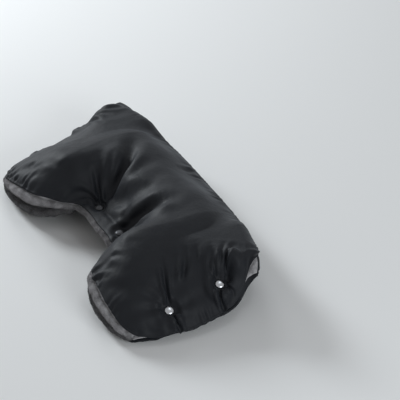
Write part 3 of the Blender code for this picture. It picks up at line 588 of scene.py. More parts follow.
def new_piece(name, points, faces, uvs=None):
    """Object with a smooth mesh at the frame's origin."""
    mesh = bpy.data.meshes.new(name)
    mesh.from_pydata([tuple(p) for p in points], [], faces)
    mesh.update()
    mesh.shade_smooth()
    if uvs is not None:
        layer = mesh.uv_layers.new(name="cloth")
        corner = np.zeros(len(mesh.loops), int)
        mesh.loops.foreach_get("vertex_index", corner)
        layer.data.foreach_set("uv", np.asarray(uvs, float)[corner].ravel())
    piece = bpy.data.objects.new(name, mesh)
    bpy.context.collection.objects.link(piece)
    return piece


def padded_body(name, upper, lower, edge_rings=3):
    """Closed body between two lattices of points, with a rounded edge between them."""
    count = upper[..., 0].size
    index = np.arange(count).reshape(upper.shape[:2])
    border = np.r_[index[0, :-1], index[:-1, -1], index[-1, :0:-1], index[:0:-1, 0]]
    top, bottom = upper.reshape(-1, 3), lower.reshape(-1, 3)
    centre = (top[border] + bottom[border]) / 2
    ahead = np.roll(centre, -1, axis=0) - np.roll(centre, 1, axis=0)
    outward = np.c_[ahead[:, 1], -ahead[:, 0], np.zeros(len(border))]
    outward /= np.linalg.norm(outward, axis=1)[:, None] + 1e-9
    half = (top[border] - bottom[border]) / 2
    thick = np.linalg.norm(half, axis=1)[:, None]
    points = [top, bottom]
    rings = [border]
    for k in range(1, edge_rings + 1):
        turn = math.pi * k / (edge_rings + 1)
        points.append(centre + half * math.cos(turn) + outward * thick * math.sin(turn))
        rings.append(2 * count + (k - 1) * len(border) + np.arange(len(border)))
    rings.append(border + count)
    faces = quads(index)
    faces = np.r_[faces, faces[:, ::-1] + count]
    for first, second in zip(rings, rings[1:]):
        faces = np.r_[faces, np.c_[first, second, np.roll(second, -1), np.roll(first, -1)]]
    points = np.concatenate(points)
    piece = new_piece(name, points + SHIFT, faces.tolist(), points[:, :2])
    print(name, "has", len(points), "points")
    return piece


# %% [markdown]
# The loft of a padded panel isn't a clean curve: the cloth is cut a little larger than the wadding,
# so it swells between the studs and wrinkles where they hold it. That is what Blender's Cloth
# does well. A coarse copy of the cover, held at its rim and at the studs, is given spare cloth
# and a little pressure for twenty frames, and only its movement is kept. Its cap keeps every
# point near the packed shape.

# %% Cloth that settles over the wadding
SETTLE_LATTICE, SETTLE_FRAMES, SETTLE_CAP, SETTLE_SMOOTHING = (151, 87), 20, 0.0042, 3
PIN_MARGIN, PIN_ROWS = 0.0015, 2


def settle_cover():
    """Movement of the cover's lattice when its cloth settles, capped and kept off the pins."""
    across, deep = lattice(*SETTLE_LATTICE)
    place = plan(across, deep)
    outer = at_height(place, cover_top(across, deep))
    index = np.arange(across.size).reshape(across.shape)
    piece = new_piece("settling", outer.reshape(-1, 3), quads(index).tolist())
    held = seat_distance(place) < CAP_RADIUS + PIN_MARGIN
    held[:PIN_ROWS], held[-PIN_ROWS:], held[:, :PIN_ROWS], held[:, -PIN_ROWS:] = True, True, True, True
    pins = piece.vertex_groups.new(name="pins")
    pins.add(index[held].tolist(), 1.0, "REPLACE")
    cloth = piece.modifiers.new("cloth", "CLOTH")
    settings = cloth.settings
    settings.quality = 8
    settings.mass = 0.002
    settings.tension_stiffness, settings.compression_stiffness = 8, 8
    settings.shear_stiffness, settings.bending_stiffness = 4, 0.02
    settings.vertex_group_mass = "pins"
    settings.shrink_min = -0.03
    settings.use_pressure = True
    settings.uniform_pressure_force = 4
    settings.effector_weights.gravity = 0
    cloth.collision_settings.use_collision = False
    cloth.point_cache.frame_start, cloth.point_cache.frame_end = 1, SETTLE_FRAMES
    for step in range(1, SETTLE_FRAMES + 1):
        bpy.context.scene.frame_set(step)
    settled = piece.evaluated_get(bpy.context.evaluated_depsgraph_get()).data
    points = np.zeros(3 * len(settled.vertices))
    settled.vertices.foreach_get("co", points)
    moved = points.reshape(outer.shape) - outer
    for _ in range(SETTLE_SMOOTHING):
        beside = sum(np.roll(moved, step, axis) for step in (-1, 1) for axis in (0, 1))
        moved = (moved + beside) / 5
    bpy.data.objects.remove(piece)
    bpy.context.scene.frame_set(1)
    far = np.linalg.norm(moved, axis=-1)[..., None] + 1e-9
    print("cloth settles by", np.round(1000 * np.percentile(far, (50, 90, 100)), 1).tolist(), "mm")
    return moved * SETTLE_CAP * np.tanh(far / SETTLE_CAP) / far


def spline_weights(where, count):
    """Weights of a smooth curve through numbered values, one row for each place."""
    first = np.clip(np.floor(where).astype(int), 0, count - 2)
    t = where - first
    weights = np.zeros((len(where), count))
    parts = ((1 - t) ** 3, 3 * t**3 - 6 * t**2 + 4, 1 + 3 * t + 3 * t**2 - 3 * t**3, t**3)
    for step, part in enumerate(parts):
        np.add.at(weights, (np.arange(len(where)), np.clip(first + step - 1, 0, count - 1)), part / 6)
    return weights


def spread(moved, across, deep):
    """A settled lattice's movement at the points of another lattice."""
    coarse_across, coarse_deep = lattice(*SETTLE_LATTICE)
    rows, columns = coarse_across.shape
    by_row = spline_weights(np.interp(deep[:, 0], coarse_deep[:, 0], np.arange(rows)), rows)
    by_column = spline_weights(np.interp(across[0], coarse_across[0], np.arange(columns)), columns)
    return by_column @ np.tensordot(by_row, moved, 1)


settled = settle_cover()

# %% [markdown]
# Sewn cloth doesn't end where its pattern does: the turned plush pushes the lip back, the sides
# are drawn in by their seams, and a lining is a little smaller than its shell. Each sheet is
# fitted to the outline by where its lattice starts and ends.

# %% Fit of the cloth to the edges
EDGE_SETBACK = ((-1.0, 0.0), (-0.90, 0.0), (-0.80, 0.010), (-0.68, 0.022), (-0.44, 0.026),
                (-0.36, 0.012), (-0.30, 0.008), (-0.22, 0.022), (0.22, 0.022), (0.30, 0.0),
                (0.42, 0.004), (0.55, 0.020), (0.66, 0.030), (0.82, 0.026), (0.93, 0.012), (1.0, 0.0))
SETBACK_POWER, SIDE_POWER, SIDE_FROM, SIDE_OVER = 8, 6, 0.74, 0.16
SEAT_BLEND = 0.0035
COVER_PLUSH_FIT = {"width": 0.985, "drawn": 0.018, "start": 0.008, "length": 0.980, "share": 0.55}
BASE_FIT = {"drawn": 0.022, "share": 0.9}
BASE_PLUSH_FIT = {"width": 0.972, "drawn": 0.012, "start": 0.010, "length": 0.975, "share": 0.9}


def fitted(across, deep, width=1, drawn=0, start=0, length=1, share=1):
    """Lattice fitted to a width, drawn in at the sides, with its lip behind the turned plush."""
    low = smooth_step((SIDE_FROM - deep) / SIDE_OVER)
    narrow = across * width * (1 - drawn * low * np.abs(across * width) ** SIDE_POWER)
    deep = start + deep * length
    return narrow, deep + share * table(EDGE_SETBACK, across) * (1 - deep) ** SETBACK_POWER


def keep_seats(place, depth=0.0, blend=SEAT_BLEND):
    """1 away from the press studs, 0 on their seats, so that the caps stay seated."""
    return smooth_step((seat_distance(place, depth) - CAP_RADIUS) / blend)


print("the lip is set back by up to", max(back for _, back in EDGE_SETBACK), "of the depth")

# %% [markdown]
# The cover's cloth is the piece that the eye goes to. It takes the cover's height, adds the
# settled movement, the folds and the gathers along the cloth's own normals, and closes over the
# wadding. A valley can only be as deep as the wadding under it, so the broad hollows lower the
# wadding and the lining too. The flat seats under the caps are kept as they are, so each cap
# still sits on its cloth.

# %% Cover cloth and its lining
COVER_LATTICE, PLUSH_LATTICE = (381, 221), (161, 101)
DIP_BLEND, DIP_SHOULDER, EDGE_BLEND = 0.008, 0.001, 0.03
CALM, CALM_FROM, CALM_OVER = 0.55, 0.015, 0.05
LOBE_FROM, LOBE_OVER, SEWN_TO, SEWN_OVER, FRONT_PHASE = 0.22, 0.12, 0.72, 0.15, 3
# Waves to the metre, seed and height
COVER_SWELLS = ((22, 1, 0.0016), (60, 2, 0.0007))
COVER_LUMPS, BASE_LUMPS = ((110, 8, 0.0005),), ((110, 9, 0.0005),)
# Height at the left and at the right, spacing and reach
LIP_GATHERS, FRONT_GATHERS = (0.0016, 0.0009, 0.0125, 0.016), (0.0012, 0.0012, 0.0150, 0.016)
SIDE_GATHERS = (0.0006, 0.0012, 0.0150, 0.013)
# Where the cloth swells round each cap, and how far valleys may press the wadding
PUFF, PUFF_RADIUS, PUFF_WIDTH, PUFF_FADE = 0.0045, 0.0175, 0.0065, 0.02
ROOM_SHARE, ROOM_KEPT, RIM_LEFT, RIM_WIDTH = 0.85, 0.0008, 0.4, 0.009
# The far corner, where the channel opens, is drawn outwards and towards the hands
EAR, EAR_WIDTH, EAR_MOVE = (-0.232, 0.052), 0.036, (-0.0045, -0.0070, 0.0)


def cover_relief(place, across, deep, room):
    """Height of folds, gathers and soft unevenness over the cover, and how calm the cloth is."""
    from_side, from_front, from_back = edge_distances(across, deep)
    x, y = place[..., 0], place[..., 1]
    calm = 1 - CALM * smooth_step((y - CALM_FROM) / CALM_OVER)
    inside = ease(np.min(edge_distances(across, deep), axis=0), EDGE_BLEND, 2)
    lobe = smooth_step((np.abs(across) - LOBE_FROM) / LOBE_OVER)
    sewn = smooth_step((SEWN_TO - deep) / SEWN_OVER)
    relief = fold_height(x, y, FOLDS) + uneven(place, COVER_SWELLS) * inside * calm
    relief += lobe * seam_gathers(x, x, from_back, LIP_GATHERS)
    relief += seam_gathers(x, x + FRONT_PHASE, from_front, FRONT_GATHERS)
    relief += sewn * seam_gathers(x, y, from_side, SIDE_GATHERS)
    return np.where(relief < 0, -room * np.tanh(-relief / room), relief), calm


def cover_grids(across, deep):
    """Points of the cover's outer face, of the wadding's underside and of the plush's two faces."""
    place = plan(across, deep)
    shifted = place + SHIFT[:2]
    nearest = np.min(edge_distances(across, deep), axis=0)
    cut = slant(cover_top, across, deep)
    soft, whole = layers(across, deep, 0.0)
    dips = np.minimum(fold_height(shifted[..., 0], shifted[..., 1], DIPS), DIP_SHOULDER)
    dips = dips * ease(edge_distances(across, deep)[2], EDGE_BLEND, 2)
    height = cover_top(across, deep) + dips * keep_seats(place, blend=DIP_BLEND)
    outer = at_height(place, height)
    puff = PUFF * np.exp(-(((seat_distance(place) - PUFF_RADIUS) / PUFF_WIDTH) ** 2))
    puff *= ease(nearest, PUFF_FADE, 2)
    room = ROOM_SHARE * soft - ROOM_KEPT + puff
    relief, calm = cover_relief(shifted, across, deep, room)
    rim = RIM_LEFT + (1 - RIM_LEFT) * ease(nearest, RIM_WIDTH, 2)
    outer += surface_normals(outer) * ((relief * rim + puff) * keep_seats(place))[..., None]
    moved = spread(settled, across, deep) * calm[..., None]
    moved[..., 2] = np.maximum(moved[..., 2], -room / 2)
    ear = np.exp(-((distance_to(EAR, shifted) / EAR_WIDTH) ** 2))
    outer += (moved + ear[..., None] * EAR_MOVE) * keep_seats(place)[..., None]
    levels = (height - soft * cut, height - (soft + CLEARANCE) * cut, height - whole * cut)
    return [outer] + [at_height(place, level) for level in levels]


outer, wadding_face, _, _ = cover_grids(*fitted(*lattice(*COVER_LATTICE)))
cover_cloth = padded_body("cover_cloth", outer, wadding_face)
_, _, upper, lower = cover_grids(*fitted(*lattice(*PLUSH_LATTICE), **COVER_PLUSH_FIT))
lower[..., 2] += uneven(lower[..., :2], COVER_LUMPS)
cover_plush = padded_body("cover_plush", upper, lower, edge_rings=1)

# %% [markdown]
# The base is the same kind of panel turned over: its cloth faces down and its loft hangs between
# the sewn edges. It lies flat where it rests, and gathers only along its seams. Its lining is
# short grey plush, which shows through the hand openings and when the cover is folded open, so a
# lumpy sheet with a pile material is enough there.

# %% Base cloth and its lining
BASE_LATTICE, BASE_SWELLS, THINNEST = (201, 121), ((20, 5, 0.0020), (55, 6, 0.0008)), 0.0010
BASE_LIP_GATHERS, BASE_FRONT_GATHERS = (0.0012, 0.0012, 0.0130, 0.014), (0.0010, 0.0010, 0.015, 0.016)
BASE_SIDE_GATHERS = (0.0006, 0.0006, 0.0190, 0.012)


def base_layers(across, deep):
    """Places, height of the plush face, the two thicknesses and the cut that keeps off the floor."""
    place = plan(across, deep)
    soft, whole = layers(across, deep, STACK_TO_BASE)
    top = base_top(across, deep)
    cut = np.minimum(slant(base_top, across, deep), (top + CHANNEL_HEIGHT + FLOOR_CUT) / whole)
    return place, top, soft, whole, cut


def build_base_cloth():
    """Shell and wadding of the base, drawn in where the cover's edge hides it."""
    across, deep = fitted(*lattice(*BASE_LATTICE), **BASE_FIT)
    from_side, from_front, from_back = edge_distances(across, deep)
    place, top, soft, whole, cut = base_layers(across, deep)
    shifted = place + SHIFT[:2]
    x, y = shifted[..., 0], shifted[..., 1]
    sewn = smooth_step((SEWN_TO - deep) / SEWN_OVER)
    relief = uneven(shifted, BASE_SWELLS) + seam_gathers(x, x, from_back, BASE_LIP_GATHERS)
    relief += seam_gathers(x, x, from_front, BASE_FRONT_GATHERS)
    relief += sewn * seam_gathers(x, y, from_side, BASE_SIDE_GATHERS)
    upper = top - (whole - soft) * cut
    lower = top - whole * cut + relief * keep_seats(place, STACK_TO_BASE)
    lower = np.minimum(np.maximum(lower, -CHANNEL_HEIGHT), upper - THINNEST)
    return padded_body("base_cloth", at_height(place, upper), at_height(place, lower))


def build_base_plush():
    """Lining of the base, a little inside its cloth."""
    place, top, soft, whole, cut = base_layers(*fitted(*lattice(*PLUSH_LATTICE), **BASE_PLUSH_FIT))
    upper = at_height(place, top + uneven(place, BASE_LUMPS))
    lower = at_height(place, top - (whole - soft - CLEARANCE) * cut)
    return padded_body("base_plush", upper, lower, edge_rings=1)


base_cloth = build_base_cloth()
base_plush = build_base_plush()

# %% [markdown]
# Along the front the two panels are sewn into one seam, bound with a folded strip of the shell
# cloth. It is the hinge of the muff.

# %% Front seam tape
TAPE_SPAN, TAPE_STATIONS, TAPE_SIDES, TAPE_TURN = 0.79, 260, 15, math.radians(78)
TAPE_RADIUS, TAPE_THICK, TAPE_INSET, TAPE_DROP, TAPE_STRETCH = 0.0046, 0.0010, 0.0026, 0.0028, 1.15
TAPE_PUCKER, TAPE_PUCKER_SPACING = 0.10, 0.009


def build_tape():
    """Folded strip round the front seam, between the base and the cover."""
    across = np.linspace(-TAPE_SPAN, TAPE_SPAN, TAPE_STATIONS)
    edge = plan(across, np.ones_like(across))
    along = np.gradient(edge, axis=0)
    along /= np.linalg.norm(along, axis=1)[:, None]
    outward = np.c_[-along[:, 1], along[:, 0]]
    seam = cover_top(across, np.ones_like(across)) - TAPE_DROP
    turn = np.linspace(-TAPE_TURN, TAPE_TURN, TAPE_SIDES)[:, None]
    outside = TAPE_RADIUS * (1 + TAPE_PUCKER * gathers(edge[:, 0], 0, TAPE_PUCKER_SPACING, 1))
    grids = []
    for radius in (outside, outside - TAPE_THICK):
        reach = radius * np.cos(turn) - TAPE_INSET
        level = seam + TAPE_STRETCH * radius * np.sin(turn)
        grids.append(at_height(edge + reach[..., None] * outward, level))
    tape = padded_body("front_seam_tape", *grids, edge_rings=1)
    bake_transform(tape)
    return tape


seam_tape = build_tape()

# %% [markdown]
# At each hand opening and at the waist the plush is turned out into a soft roll that follows the
# edge between the two panels. The rolls lie against the cover and the base, swell a little into
# them, and end rounded at the corners. The photograph shows the far end's lips in full, and at
# the near end only the stretch past the waist.

# %% Centre lines of the plush rolls
ROLL_STATIONS, ROLL_STEP, LINE_DEEP = 110, 0.01, 0.015
WAIST_STATIONS, WAIST_END, WAIST_ROLL_HALF, WAIST_INSET = 60, 0.262, 0.004, 0.002
WAIST_SWELL, WAIST_WIDENING = 0.0020, 1.35
LIP_START, LIP_ENDS = 0.258, {"left": 0.935, "right": 0.962}
LEAST_SHARE, LEAST_HALF, END_ROUNDING, END_LEFT = 0.55, 0.0024, 0.035, 0.002
COVER_LIP_INSET, HIDDEN_INSET, BASE_LIP_INSET = 0.0018, 0.006, 0.0015
HIDDEN_FROM, HIDDEN_OVER, SWELL_FROM, SWELL_OVER = 0.38, 0.18, 0.36, 0.20
LIP_SWELL, COVER_LIP_WIDENING, BASE_LIP_WIDENING = 0.0032, 1.12, 1.08
HANG, FAR_HANG, HANG_FROM, HANG_OVER = 0.0024, 0.0022, 0.30, 0.3


def roll_line(across, wide, inset):
    """Plan of a roll's centre line along the back edge, and the levels above and below it."""
    edge = plan(across, np.zeros_like(across))
    inward = plan(across, np.full_like(across, LINE_DEEP)) - edge
    inward /= np.linalg.norm(inward, axis=-1)[:, None]
    shares = [(u, v) for u in (-1, 0, 1) for v in (0, 0.5, 1)]
    near = [(across + u * ROLL_STEP, v * (ROLL_SETBACK + wide) / LOBE_REACH) for u, v in shares]
    ceiling = np.min([cover_bottom(*where) for where in near], axis=0) - ROLL_GAP
    ground = np.max([base_top(*where) for where in near], axis=0) + ROLL_GAP
    return edge + inset * inward, ceiling, ground


def waist_roll():
    """Centres, half widths and half heights of the roll at the waist."""
    stations = np.linspace(-WAIST_END, WAIST_END, WAIST_STATIONS)
    wide = np.full(WAIST_STATIONS, WAIST_ROLL_HALF)
    line, ceiling, ground = roll_line(stations, wide, WAIST_INSET)
    half = np.minimum(WAIST_ROLL, ceiling - ground) / 2
    return np.c_[line, ceiling - half + WAIST_SWELL], wide * WAIST_WIDENING, half + WAIST_SWELL


def lip_rolls(s, word):
    """The same for one hand opening's two rolls, the cover's and the base's."""
    stations = s * np.linspace(LIP_START, LIP_ENDS[word], ROLL_STATIONS)
    out = np.abs(stations)
    share = np.maximum(table(LIP_GAPE, out), LEAST_SHARE)
    from_end = np.minimum(out - out[0], out[-1] - out) + END_LEFT
    round_end = np.sqrt(1 - (1 - np.clip(from_end / END_ROUNDING, 0, 1)) ** 2)
    wide = ROLL_WIDE / 2 * (1 + share) / 2
    line, ceiling, ground = roll_line(stations, wide, COVER_LIP_INSET)
    swell, hang = share * LIP_SWELL, HANG
    if word == "right":
        # The near end's rolls stay under the cover until past the waist
        hidden = 1 - smooth_step((stations - HIDDEN_FROM) / HIDDEN_OVER)
        line = line + (roll_line(stations, wide, HIDDEN_INSET)[0] - line) * hidden[:, None]
        swell = swell * smooth_step((stations - SWELL_FROM) / SWELL_OVER)
    else:
        hang = HANG + FAR_HANG * (1 - smooth_step((out - HANG_FROM) / HANG_OVER))
    half = np.minimum(share, (ceiling - ground - share * SLIT) / (ROLL_HIGH + BASE_ROLL)) * ROLL_HIGH / 2
    half = np.maximum(half, LEAST_HALF) * round_end
    wide = wide * round_end
    cover_lip = (np.c_[line, ceiling - half + swell], wide * COVER_LIP_WIDENING, half + swell)
    line = roll_line(stations, wide, BASE_LIP_INSET)[0]
    half, hang = half * BASE_ROLL / ROLL_HIGH, hang * round_end
    return cover_lip, (np.c_[line, ground + half - hang], wide * BASE_LIP_WIDENING, half + hang)


ROLLS = {"waist_plush": (*waist_roll(), "waist_roll", "cover")}
for s, word in SIDES:
    for body, shape in zip(("cover", "base"), lip_rolls(s, word)):
        ROLLS[f"{body}_lip_{word}"] = (*shape, f"{body}_lip_roll_{word}", body)
print("rolls", {name: round(1000 * float(2 * roll[2].max()), 1) for name, roll in ROLLS.items()}, "mm high")

# %% [markdown]
# Each roll is swept along its line with a lumpy oval section, and then gets its pile as real
# tufts: short tapered hairs planted over the roll with a fixed random seed, because the fuzzy
# outline is what tells the eye that it is plush.

# %% Plush rolls with their pile
ROLL_SIDES, LUMP_WAVES, LUMP_SHARE = 20, 95, 0.16
TUFTS, TUFT_SHORT, TUFT_LONG, TUFT_HALF, TUFT_ROOT = 26000, 0.0012, 0.0026, 0.00022, 0.0002
TUFT_SPREAD, TUFT_DROOP, FIRST_SEED = 0.45, np.array((0, 0, -0.25)), 11


def tufts(points, centres, seed):
    """Three points for each hair of the pile, planted over a roll's rings of points."""
    random = np.random.default_rng(seed)
    rows, sides = points.shape[:2]
    s = random.uniform(0, rows - 1.001, TUFTS)
    c = random.uniform(0, sides, TUFTS)
    i, j = s.astype(int), c.astype(int)
    fs, fc = (s % 1)[:, None], (c % 1)[:, None]
    here, beside = points[i, j % sides], points[i, (j + 1) % sides]
    ahead, across = points[i + 1, j % sides], points[i + 1, (j + 1) % sides]
    root = (here * (1 - fc) + beside * fc) * (1 - fs) + (ahead * (1 - fc) + across * fc) * fs
    normal = np.cross(beside - here, ahead - here)
    normal /= np.linalg.norm(normal, axis=1)[:, None] + 1e-12
    middle = centres[i] * (1 - fs) + centres[i + 1] * fs
    normal *= np.sign(np.sum(normal * (root - middle), axis=1))[:, None]
    lean = normal + random.normal(0, TUFT_SPREAD, (TUFTS, 3)) + TUFT_DROOP
    lean /= np.linalg.norm(lean, axis=1)[:, None]
    length = random.uniform(TUFT_SHORT, TUFT_LONG, TUFTS)[:, None]
    sideways = np.cross(lean, random.normal(0, 1, (TUFTS, 3)))
    sideways *= TUFT_HALF / np.linalg.norm(sideways, axis=1)[:, None]
    root = root - normal * TUFT_ROOT
    return np.stack([root - sideways, root + sideways, root + lean * length], 1).reshape(-1, 3)


def build_roll(name, centres, wide, high, seed):
    """Oval roll with lumps along a line of centres, closed at its ends, with tufts of pile."""
    along = np.gradient(centres, axis=0)
    outward = np.c_[along[:, 1], -along[:, 0], np.zeros(len(along))]
    outward /= np.linalg.norm(outward, axis=1)[:, None]
    turn = np.linspace(0, 2 * math.pi, ROLL_SIDES, endpoint=False)
    offset = outward[:, None] * (wide[:, None] * np.cos(turn))[..., None]
    offset[..., 2] += high[:, None] * np.sin(turn)
    points = centres[:, None] + offset
    start = Vector((seed, 0, 0))
    lump = np.array([noise.noise(Vector(p * LUMP_WAVES) + start) for p in points.reshape(-1, 3)])
    points += offset * (LUMP_SHARE * lump.reshape(points.shape[:2]))[..., None]
    index = np.arange(lump.size).reshape(points.shape[:2])
    faces = quads(np.c_[index, index[:, 0]])[:, ::-1].tolist()
    faces += [index[0].tolist(), index[-1][::-1].tolist()]
    blades = (lump.size + np.arange(3 * TUFTS)).reshape(-1, 3).tolist()
    points = np.r_[points.reshape(-1, 3), tufts(points, centres, seed)]
    return new_piece(name, points + SHIFT, faces + blades)


plush_rolls = []
for seed, (name, (centres, wide, high, node, body)) in enumerate(ROLLS.items(), FIRST_SEED):
    piece = build_roll(name, centres, wide, high, seed)
    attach(piece, body)
    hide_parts(node)
    plush_rolls.append(piece)
print("rolls with", TUFTS, "tufts each:", [piece.name for piece in plush_rolls])

# %% [markdown]
# A press stud's cap is a spun metal dome, closed over the rivet that holds the socket through the
# cloth. The packed caps are turned with few sides, which shows up close, so each is turned again
# here with a rounder dome on the same axis and seat.

# %% Press stud caps
CAP_HEIGHT, CAP_SIDES, CAP_CREASE = 0.0030, 48, math.radians(50)
RIVET_RADIUS, RIVET_FLARE, RIVET_TIP = 0.0017, 0.0023, 0.0005
# Radius and height along the dome, as shares of the cap's
DOME = ((0.0, 1.0), (0.20, 0.985), (0.40, 0.945), (0.58, 0.87), (0.74, 0.75), (0.87, 0.58), (0.95, 0.42),
        (1.0, 0.24), (1.0, 0.12), (0.96, 0.0))


def build_cap(name, seat):
    """Turned cap with its rivet, on a press stud's seat."""
    reach = PRESSED_PANEL + CLEARANCE
    profile = [(r * CAP_RADIUS, z * CAP_HEIGHT) for r, z in DOME]
    profile += [(RIVET_RADIUS, 0), (RIVET_RADIUS, -reach), (RIVET_FLARE, -reach)]
    profile += [(RIVET_RADIUS, -reach - RIVET_TIP)]
    point, axis = seat_point(seat, 0.0)
    sideways = np.array((axis[2], 0, -axis[0]))
    turn = np.linspace(0, 2 * math.pi, CAP_SIDES, endpoint=False)
    around = np.cos(turn)[:, None] * sideways + np.sin(turn)[:, None] * np.array((0, 1, 0))
    rings = [point + z * axis + r * around for r, z in profile[1:]]
    points = np.concatenate([[point + profile[0][1] * axis]] + rings + [[point + profile[-1][1] * axis]])
    index = 1 + np.arange(CAP_SIDES * len(rings)).reshape(len(rings), CAP_SIDES)
    index = np.c_[index, index[:, 0]]
    faces = [(0, a, b) for a, b in zip(index[0], index[0, 1:])]
    faces += quads(index)[:, [0, 3, 2, 1]].tolist()
    faces += [(b, a, len(points) - 1) for a, b in zip(index[-1], index[-1, 1:])]
    cap = new_piece(name, points + SHIFT, [[int(k) for k in face] for face in faces])
    cap.data.set_sharp_from_angle(angle=CAP_CREASE)
    return cap


caps = {}
for name, seat in SEATS.items():
    caps[name] = build_cap("cap_" + name, seat)
    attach(caps[name], "cover")
    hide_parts("snap_cap_" + name)
print("caps", sorted(caps))

# %% [markdown]
# Each panel rides on its packed body: what is sewn to the cover swings up with it, and the rest
# stays on the base. Each stands in for the solids that it covers.

# %% Bodies and stand-ins
PANELS = ((cover_cloth, "cover", "black_shell_cloth", ("cover_shell", "cover_wadding")),
          (base_cloth, "base", "black_shell_cloth", ("base_shell", "base_wadding")),
          (cover_plush, "cover", "grey_plush", ("cover_lining",)),
          (base_plush, "base", "grey_plush", ("base_lining",)))
for piece, body, slot, nodes in PANELS:
    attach(piece, body)
    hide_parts(*nodes)
print("panels", [piece.name for piece, *_ in PANELS])

# %% [markdown]
# Materials are node trees written as arithmetic. `Wire` wraps one output socket, so that a
# line such as `0.5 + mask * 0.1` adds its Math nodes, and `node` makes any other node from its
# type, its settings and its sockets. Noise scales are waves to the metre.

# %% Shader arithmetic


class Wire:
    """One output socket, with arithmetic that adds Math nodes."""

    def __init__(self, finish, socket):
        self.finish = finish
        self.socket = socket

    def math(self, operation, a, b):
        """Wire from a Math node on wires or numbers."""
        return self.finish.node("ShaderNodeMath", {"operation": operation}, {0: a, 1: b})

    def __add__(self, other):
        return self.math("ADD", self, other)

    def __mul__(self, other):
        return self.math("MULTIPLY", self, other)

    __radd__ = __add__
    __rmul__ = __mul__


def set_stops(elements, stops):
    """Fill a colour ramp from a list of places and colours."""
    while len(elements) < len(stops):
        elements.new(1)
    for element, (place, colour) in zip(elements, stops):
        element.position, element.color = place, (*colour, 1)


class Finish:
    """A material whose Principled shader is fed by wires."""

    def __init__(self, name, **constants):
        self.material = bpy.data.materials.new(name)
        self.material.use_nodes = True
        self.tree = self.material.node_tree
        self.shader = self.tree.nodes["Principled BSDF"]
        for socket, value in constants.items():
            self.shader.inputs[socket.replace("_", " ")].default_value = value

    def node(self, kind, settings, sockets, output=0):
        """Node of a type, with its settings set first and then its sockets linked or filled."""
        made = self.tree.nodes.new(kind)
        for name, value in settings.items():
            if name == "stops":
                set_stops(made.color_ramp.elements, value)
            else:
                setattr(made, name, value)
        for name, value in sockets.items():
            if isinstance(value, Wire):
                self.tree.links.new(made.inputs[name], value.socket)
            else:
                made.inputs[name].default_value = value
        return Wire(self, made.outputs[output])

    def feed(self, socket, wire):
        """Link a wire to a socket of the Principled shader."""
        self.tree.links.new(self.shader.inputs[socket], wire.socket)

    def place(self, output="Object"):
        """Where on the piece a point lies, by the piece's own axes or its cloth's lattice."""
        return self.node("ShaderNodeTexCoord", {}, {}, output)

    def noise(self, place, scale, detail):
        """Cloudy noise from 0 to 1."""
        return self.node("ShaderNodeTexNoise", {}, {"Vector": place, "Scale": scale, "Detail": detail})

    def ramp(self, wire, stops):
        """Colour by the value of a wire."""
        return self.node("ShaderNodeValToRGB", {"stops": stops}, {"Fac": wire})

    def bump(self, height, distance, strength, normal=None):
        """Normal of a surface whose height follows a wire, over another bump if one is given."""
        sockets = {"Height": height, "Distance": distance, "Strength": strength}
        if normal is not None:
            sockets["Normal"] = normal
        return self.node("ShaderNodeBump", {}, sockets)


print("arithmetic on wires:", sorted(name for name in vars(Wire) if name.endswith(("add__", "mul__"))))

# %% [markdown]
# The outer cloth is a tightly woven polyester with a faint blue-green cast and a satin sheen. The
# weave is two crossed waves at the thread's own pitch, a soft crinkle lies over it, and the
# colour and roughness drift a little where the cloth has been rubbed.

# %% Black shell cloth
THREAD, WEAVE_DEPTH, CRINKLE_DEPTH = 0.00045, 0.00003, 0.0007
# Blender's wave texture makes this many bands a metre at scale 1
BANDS = 20 / (2 * math.pi)
CLOTH_TONES = ((0.30, (0.0080, 0.0089, 0.0112)), (0.50, (0.0095, 0.0106, 0.0132)),
               (0.72, (0.0114, 0.0126, 0.0156)))
CLOTH_ROUGHNESS, WORN_ROUGHNESS, WEAVE_ROUGHNESS, BROAD_SHARE = 0.53, 0.06, 0.03, 0.55
# Scale and detail of the noises
CRINKLE, BROAD, WORN = (160, 4), (14, 3), (45, 5)


def shell_finish():
    """Woven cloth with a low sheen."""
    cloth = Finish("shell_weave", Sheen_Weight=0.04, Sheen_Roughness=0.5, Sheen_Tint=(0.75, 0.85, 1.0, 1),
                   Specular_IOR_Level=0.155)
    thread = {"Vector": cloth.place("UV"), "Scale": 1 / (THREAD * BANDS)}
    warp, weft = [cloth.node("ShaderNodeTexWave", {"bands_direction": axis}, thread, 1) for axis in "XY"]
    body = cloth.place()
    worn = cloth.noise(body, *WORN)
    shade = cloth.noise(body, *BROAD) * BROAD_SHARE + worn * (1 - BROAD_SHARE)
    cloth.feed("Base Color", cloth.ramp(shade, CLOTH_TONES))
    cloth.feed("Roughness", CLOTH_ROUGHNESS + worn * WORN_ROUGHNESS + warp * weft * WEAVE_ROUGHNESS)
    weave = cloth.bump(warp * weft, WEAVE_DEPTH, 0.5)
    cloth.feed("Normal", cloth.bump(cloth.noise(body, *CRINKLE), CRINKLE_DEPTH, 0.6, weave))
    return cloth.material


shell_cloth = shell_finish()
print("thread pitch", round(1000 * THREAD, 2), "mm")

# %% [markdown]
# The plush is a dense short pile of grey polyester. It has hardly any gloss, glows softly where
# the pile is seen from the side, and its tone breaks up into clumps of hairs with finer hairs in
# them. The lower lips lie in the shade of the upper ones, and that shade is painted into their pile.

# %% Grey plush
PILE_TONES = ((0.34, (0.20, 0.195, 0.20)), (0.48, (0.34, 0.33, 0.34)), (0.64, (0.52, 0.51, 0.52)))
# The factor for the lower lips' pile colours is painted shade, the shadow of the upper lips.
PILE_DEPTH, LIP_PAINTED_SHADE, CLUMP_SHARE, CLUMP, HAIRS = 0.0012, 0.36, 0.7, (90, 3), (700, 2)


